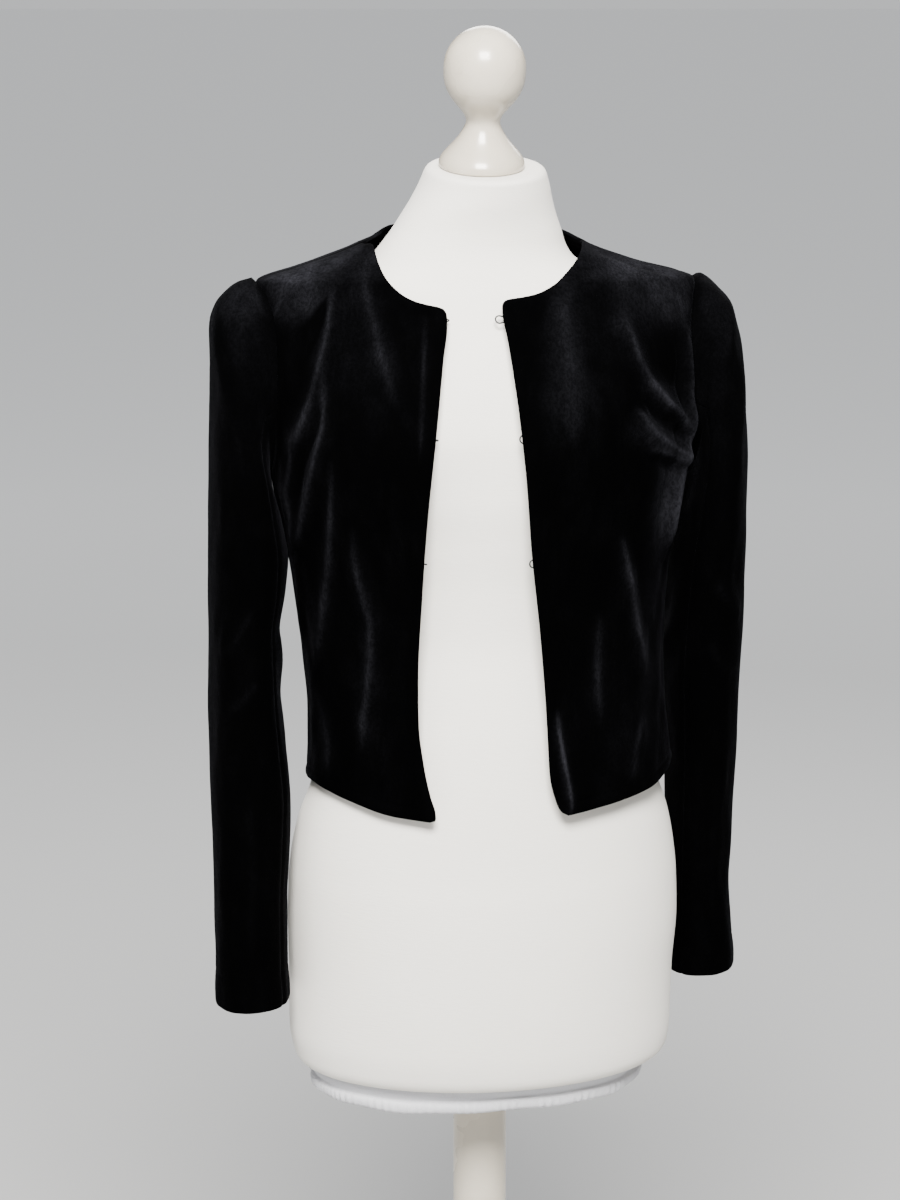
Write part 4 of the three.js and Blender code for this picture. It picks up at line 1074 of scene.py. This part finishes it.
points = np.stack([
    FORM["mid"][0] + (FORM["wide"][0] - inset) * np.sin(angle),
    -np.cos(angle) * depth,
    heights + (0.9 + 0.9 * np.sin(angle * 5 + 1) + 0.5 * np.sin(angle * 13)) * loose,
], axis=-1)
band = lay_grid("form_gathered_edge", points, edging_in_painted_shade.material)
print("band points", close_tube(band))

# %% [markdown]
# ## Knob, post and base
# These are turned on a lathe. The same way works here: a circle is added, extruded upward ring by ring and
# scaled to the next radius. The knob leans forward with the neck plate it stands on.

# %% Turn the knob, the post and the base
def turned(name, rows, sides, material, slot):
    """Raise a solid ring by ring from rows of radius and height in millimetres."""
    deselect_all()
    first_radius, first_height = rows[0]
    bpy.ops.mesh.primitive_circle_add(
        vertices=sides, radius=first_radius * MM, location=(0, 0, first_height * MM), fill_type="NGON")
    piece = bpy.context.object
    piece.name = piece.data.name = name
    bpy.ops.object.transform_apply(location=True)
    bpy.ops.object.mode_set(mode="EDIT")
    bpy.ops.mesh.select_all(action="SELECT")
    for (r0, h0), (r1, h1) in zip(rows, rows[1:]):
        bpy.ops.mesh.extrude_region_move(TRANSFORM_OT_translate={"value": (0, 0, (h1 - h0) * MM)})
        bpy.ops.transform.resize(value=(r1 / r0, r1 / r0, 1), center_override=(0, 0, h1 * MM))
    bpy.ops.mesh.select_all(action="SELECT")
    bpy.ops.mesh.normals_make_consistent(inside=False)
    bpy.ops.object.mode_set(mode="OBJECT")
    bpy.ops.object.shade_smooth_by_angle(angle=math.radians(38))
    piece.data.materials.append(material)
    return piece


KNOB_BALL, BALL_HEIGHT = 33.8, 82
knob_rows = [
    (33.9, 0.3), (35.0, 0.7), (35.6, 1.6), (35.7, 3), (35.5, 4.8), (34.7, 7), (33.2, 9.5), (31.2, 12.2),
    (27.6, 16.2), (23.4, 20.8), (20, 25.2), (17.4, 29.4), (15.5, 33), (14.4, 36), (14.1, 38.6), (14.6, 41),
    (16, 44), (18.2, 47), (20.8, 50), (23.4, 53), (25.8, 56), (28, 59), (29.8, 62), (31.2, 65), (32.6, 69),
    (33.4, 73), (33.8, 78),
]
for turn_share in np.linspace(0, 1, 16)[:-1]:
    at = math.pi / 2 * (1 + turn_share)
    knob_rows.append((KNOB_BALL * math.sin(at), BALL_HEIGHT - KNOB_BALL * math.cos(at)))
knob_rows.append((0.6, BALL_HEIGHT + KNOB_BALL))
knob = turned("turned_knob", knob_rows, 72, paint.material, "cream_paint")

plate_middle = (FORM["back"][-1] - FORM["front"][-1]) / 2
knob_foot = (FORM["mid"][-1] - 4.2, plate_middle, FORM_HIGH + NECK_TILT * plate_middle)
knob.location = [c * MM for c in knob_foot]
knob.rotation_euler = (math.atan(NECK_TILT), 0, 0)
deselect_all()
knob.select_set(True)
bpy.context.view_layer.objects.active = knob
bpy.ops.object.transform_apply(location=True, rotation=True)

post_rows = [(22.9, 52.3), (23.5, 52.9), (23.5, 200), (23.5, 400), (23.5, 610.1), (22.9, 610.7)]
turned("turned_post", post_rows, 72, paint.material, "cream_paint")
base_rows = [(173, 0), (174.4, 0.6), (175, 2), (175, 13.5), (174.3, 16.2), (172.3, 18.9), (169.4, 20.8),
             (165.5, 22), (110, 23.6), (60, 24.6), (51, 25.4), (45, 26.8), (41, 29), (38.4, 32), (36.6, 38),
             (35, 47.5), (34.2, 50), (32.8, 51.5), (31.2, 52)]
turned("turned_base", base_rows, 128, paint.material, "cream_paint")
print("knob top", round(max(v.co.z for v in knob.data.vertices), 4), "m")

# %% [markdown]
# ## Hooks and eyes
# Each fastening is one bent wire, sewn just inside its edge. A wire is easiest as a curve with a round
# bevel, which becomes a mesh. The hook has one small ring for the thread and a tongue that turns back. The
# eye is an open loop that ends in two rings.

# %% Bend the hooks and the eyes
FASTENINGS = [(1268, 2.4, 0.0), (1174, -1.8, 0.2), (1070, -1.6, -0.4)]
WIRE = 0.65
EYE_RADIUS = 3.3


def edge_frame(side, z):
    """A point just inside the wall at a front edge, the way past the edge, the way up and the way in."""
    angle = angle_of(smooth(EDGE[side], "z", "x", float(z)), float(z))
    here = coat_form(angle, float(z))
    out = coat_form(angle - SIDES[side] * 0.02, float(z)) - here
    up = coat_form(angle, z + 2.0) - coat_form(angle, z - 2.0)
    out, up = out / np.linalg.norm(out), up / np.linalg.norm(up)
    inward = np.cross(out, up)
    inward = inward / np.linalg.norm(inward) * (1 if inward[1] > 0 else -1)
    return here + inward * (CLOTH + 0.9 + WIRE), out, up, inward


def bend_wire(name, plan, frame_at, past):
    """A round wire through points given as (past the edge, up, inward) from the frame, in millimetres."""
    here, out, up, inward = frame_at
    deselect_all()
    bpy.ops.curve.primitive_nurbs_path_add()
    wire = bpy.context.object
    wire.name = name
    wire.location = (0, 0, 0)
    wire.data.splines.clear()
    spline = wire.data.splines.new("NURBS")
    spline.points.add(len(plan) - 1)
    for point, (along, across, deep) in zip(spline.points, plan):
        place = here + out * (along + past) + up * across + inward * deep
        point.co = (*(place * MM), 1)
    spline.order_u = 3
    spline.use_endpoint_u = True
    spline.resolution_u = 6
    wire.data.bevel_depth = WIRE * MM
    wire.data.bevel_resolution = 3
    wire.data.use_fill_caps = True
    wire.data.materials.append(enamel.material)
    bpy.ops.object.convert(target="MESH")
    wire = bpy.context.object
    bpy.ops.object.shade_smooth()
    wire.name = wire.data.name = name
    return wire


def ring_path(middle, radius, start, end, count):
    turns = np.radians(np.linspace(start, end, count))
    return [(middle[0] + radius * math.cos(t), middle[1] + radius * math.sin(t), 0) for t in turns]


eye_plan = (
    ring_path((-4.4, 2.5), 1.1, 200, 10, 7) + ring_path((0, 0), EYE_RADIUS, 128, -128, 18)
    + ring_path((-4.4, -2.5), 1.1, -10, -200, 7)
)
hook_plan = (
    ring_path((-6.6, 1.9), 1.1, 320, 60, 7)
    + [(-4.6, 0.78, 0), (-1.6, 0.75, 0), (0.4, 0.72, 0.1), (1.5, 0.5, 0.8), (1.75, 0.2, 1.6), (1.2, 0, 2.4),
       (0, 0, 2.7), (-2.6, 0, 2.75)]
)
wires = {}
for number, (z, eye_past, hook_past) in enumerate(FASTENINGS, start=1):
    wires[f"eye_{number}"] = bend_wire(f"sewn_eye_{number}", eye_plan, edge_frame("left", z), eye_past)
    wires[f"hook_{number}"] = bend_wire(f"sewn_hook_{number}", hook_plan, edge_frame("right", z), hook_past)
print("wires", len(wires))

# %% [markdown]
# ## Stand in for the CAD nodes
# Each piece replaces the CAD node that it was laid on, and rides on the one body of this part. Each cloth
# piece is declared with a width and a length of cloth, in metres. They are estimates, and some are off: the
# under sleeves as laid are 0.17 wide and 0.54 long, the back is up to 0.48 wide, and the band is 0.75 round.
# The area of each velvet piece as laid above is no measure of real cloth. The torso is foam.

# %% Replace and ride
replaced = {
    "velvet_front_right": "front_right", "velvet_front_left": "front_left", "velvet_back": "back",
    "velvet_top_sleeve_right": "top_sleeve_right", "velvet_top_sleeve_left": "top_sleeve_left",
    "velvet_under_sleeve_right": "under_sleeve_right", "velvet_under_sleeve_left": "under_sleeve_left",
    "form_torso": "form_body", "form_gathered_edge": "form_hem_band", "turned_knob": "form_knob",
    "turned_post": "form_post", "turned_base": "form_base",
}
replaced.update({wire.name: node for node, wire in wires.items()})
for name, node in replaced.items():
    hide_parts(node)
    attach(bpy.data.objects[name], "root")

print("pieces", len(replaced))
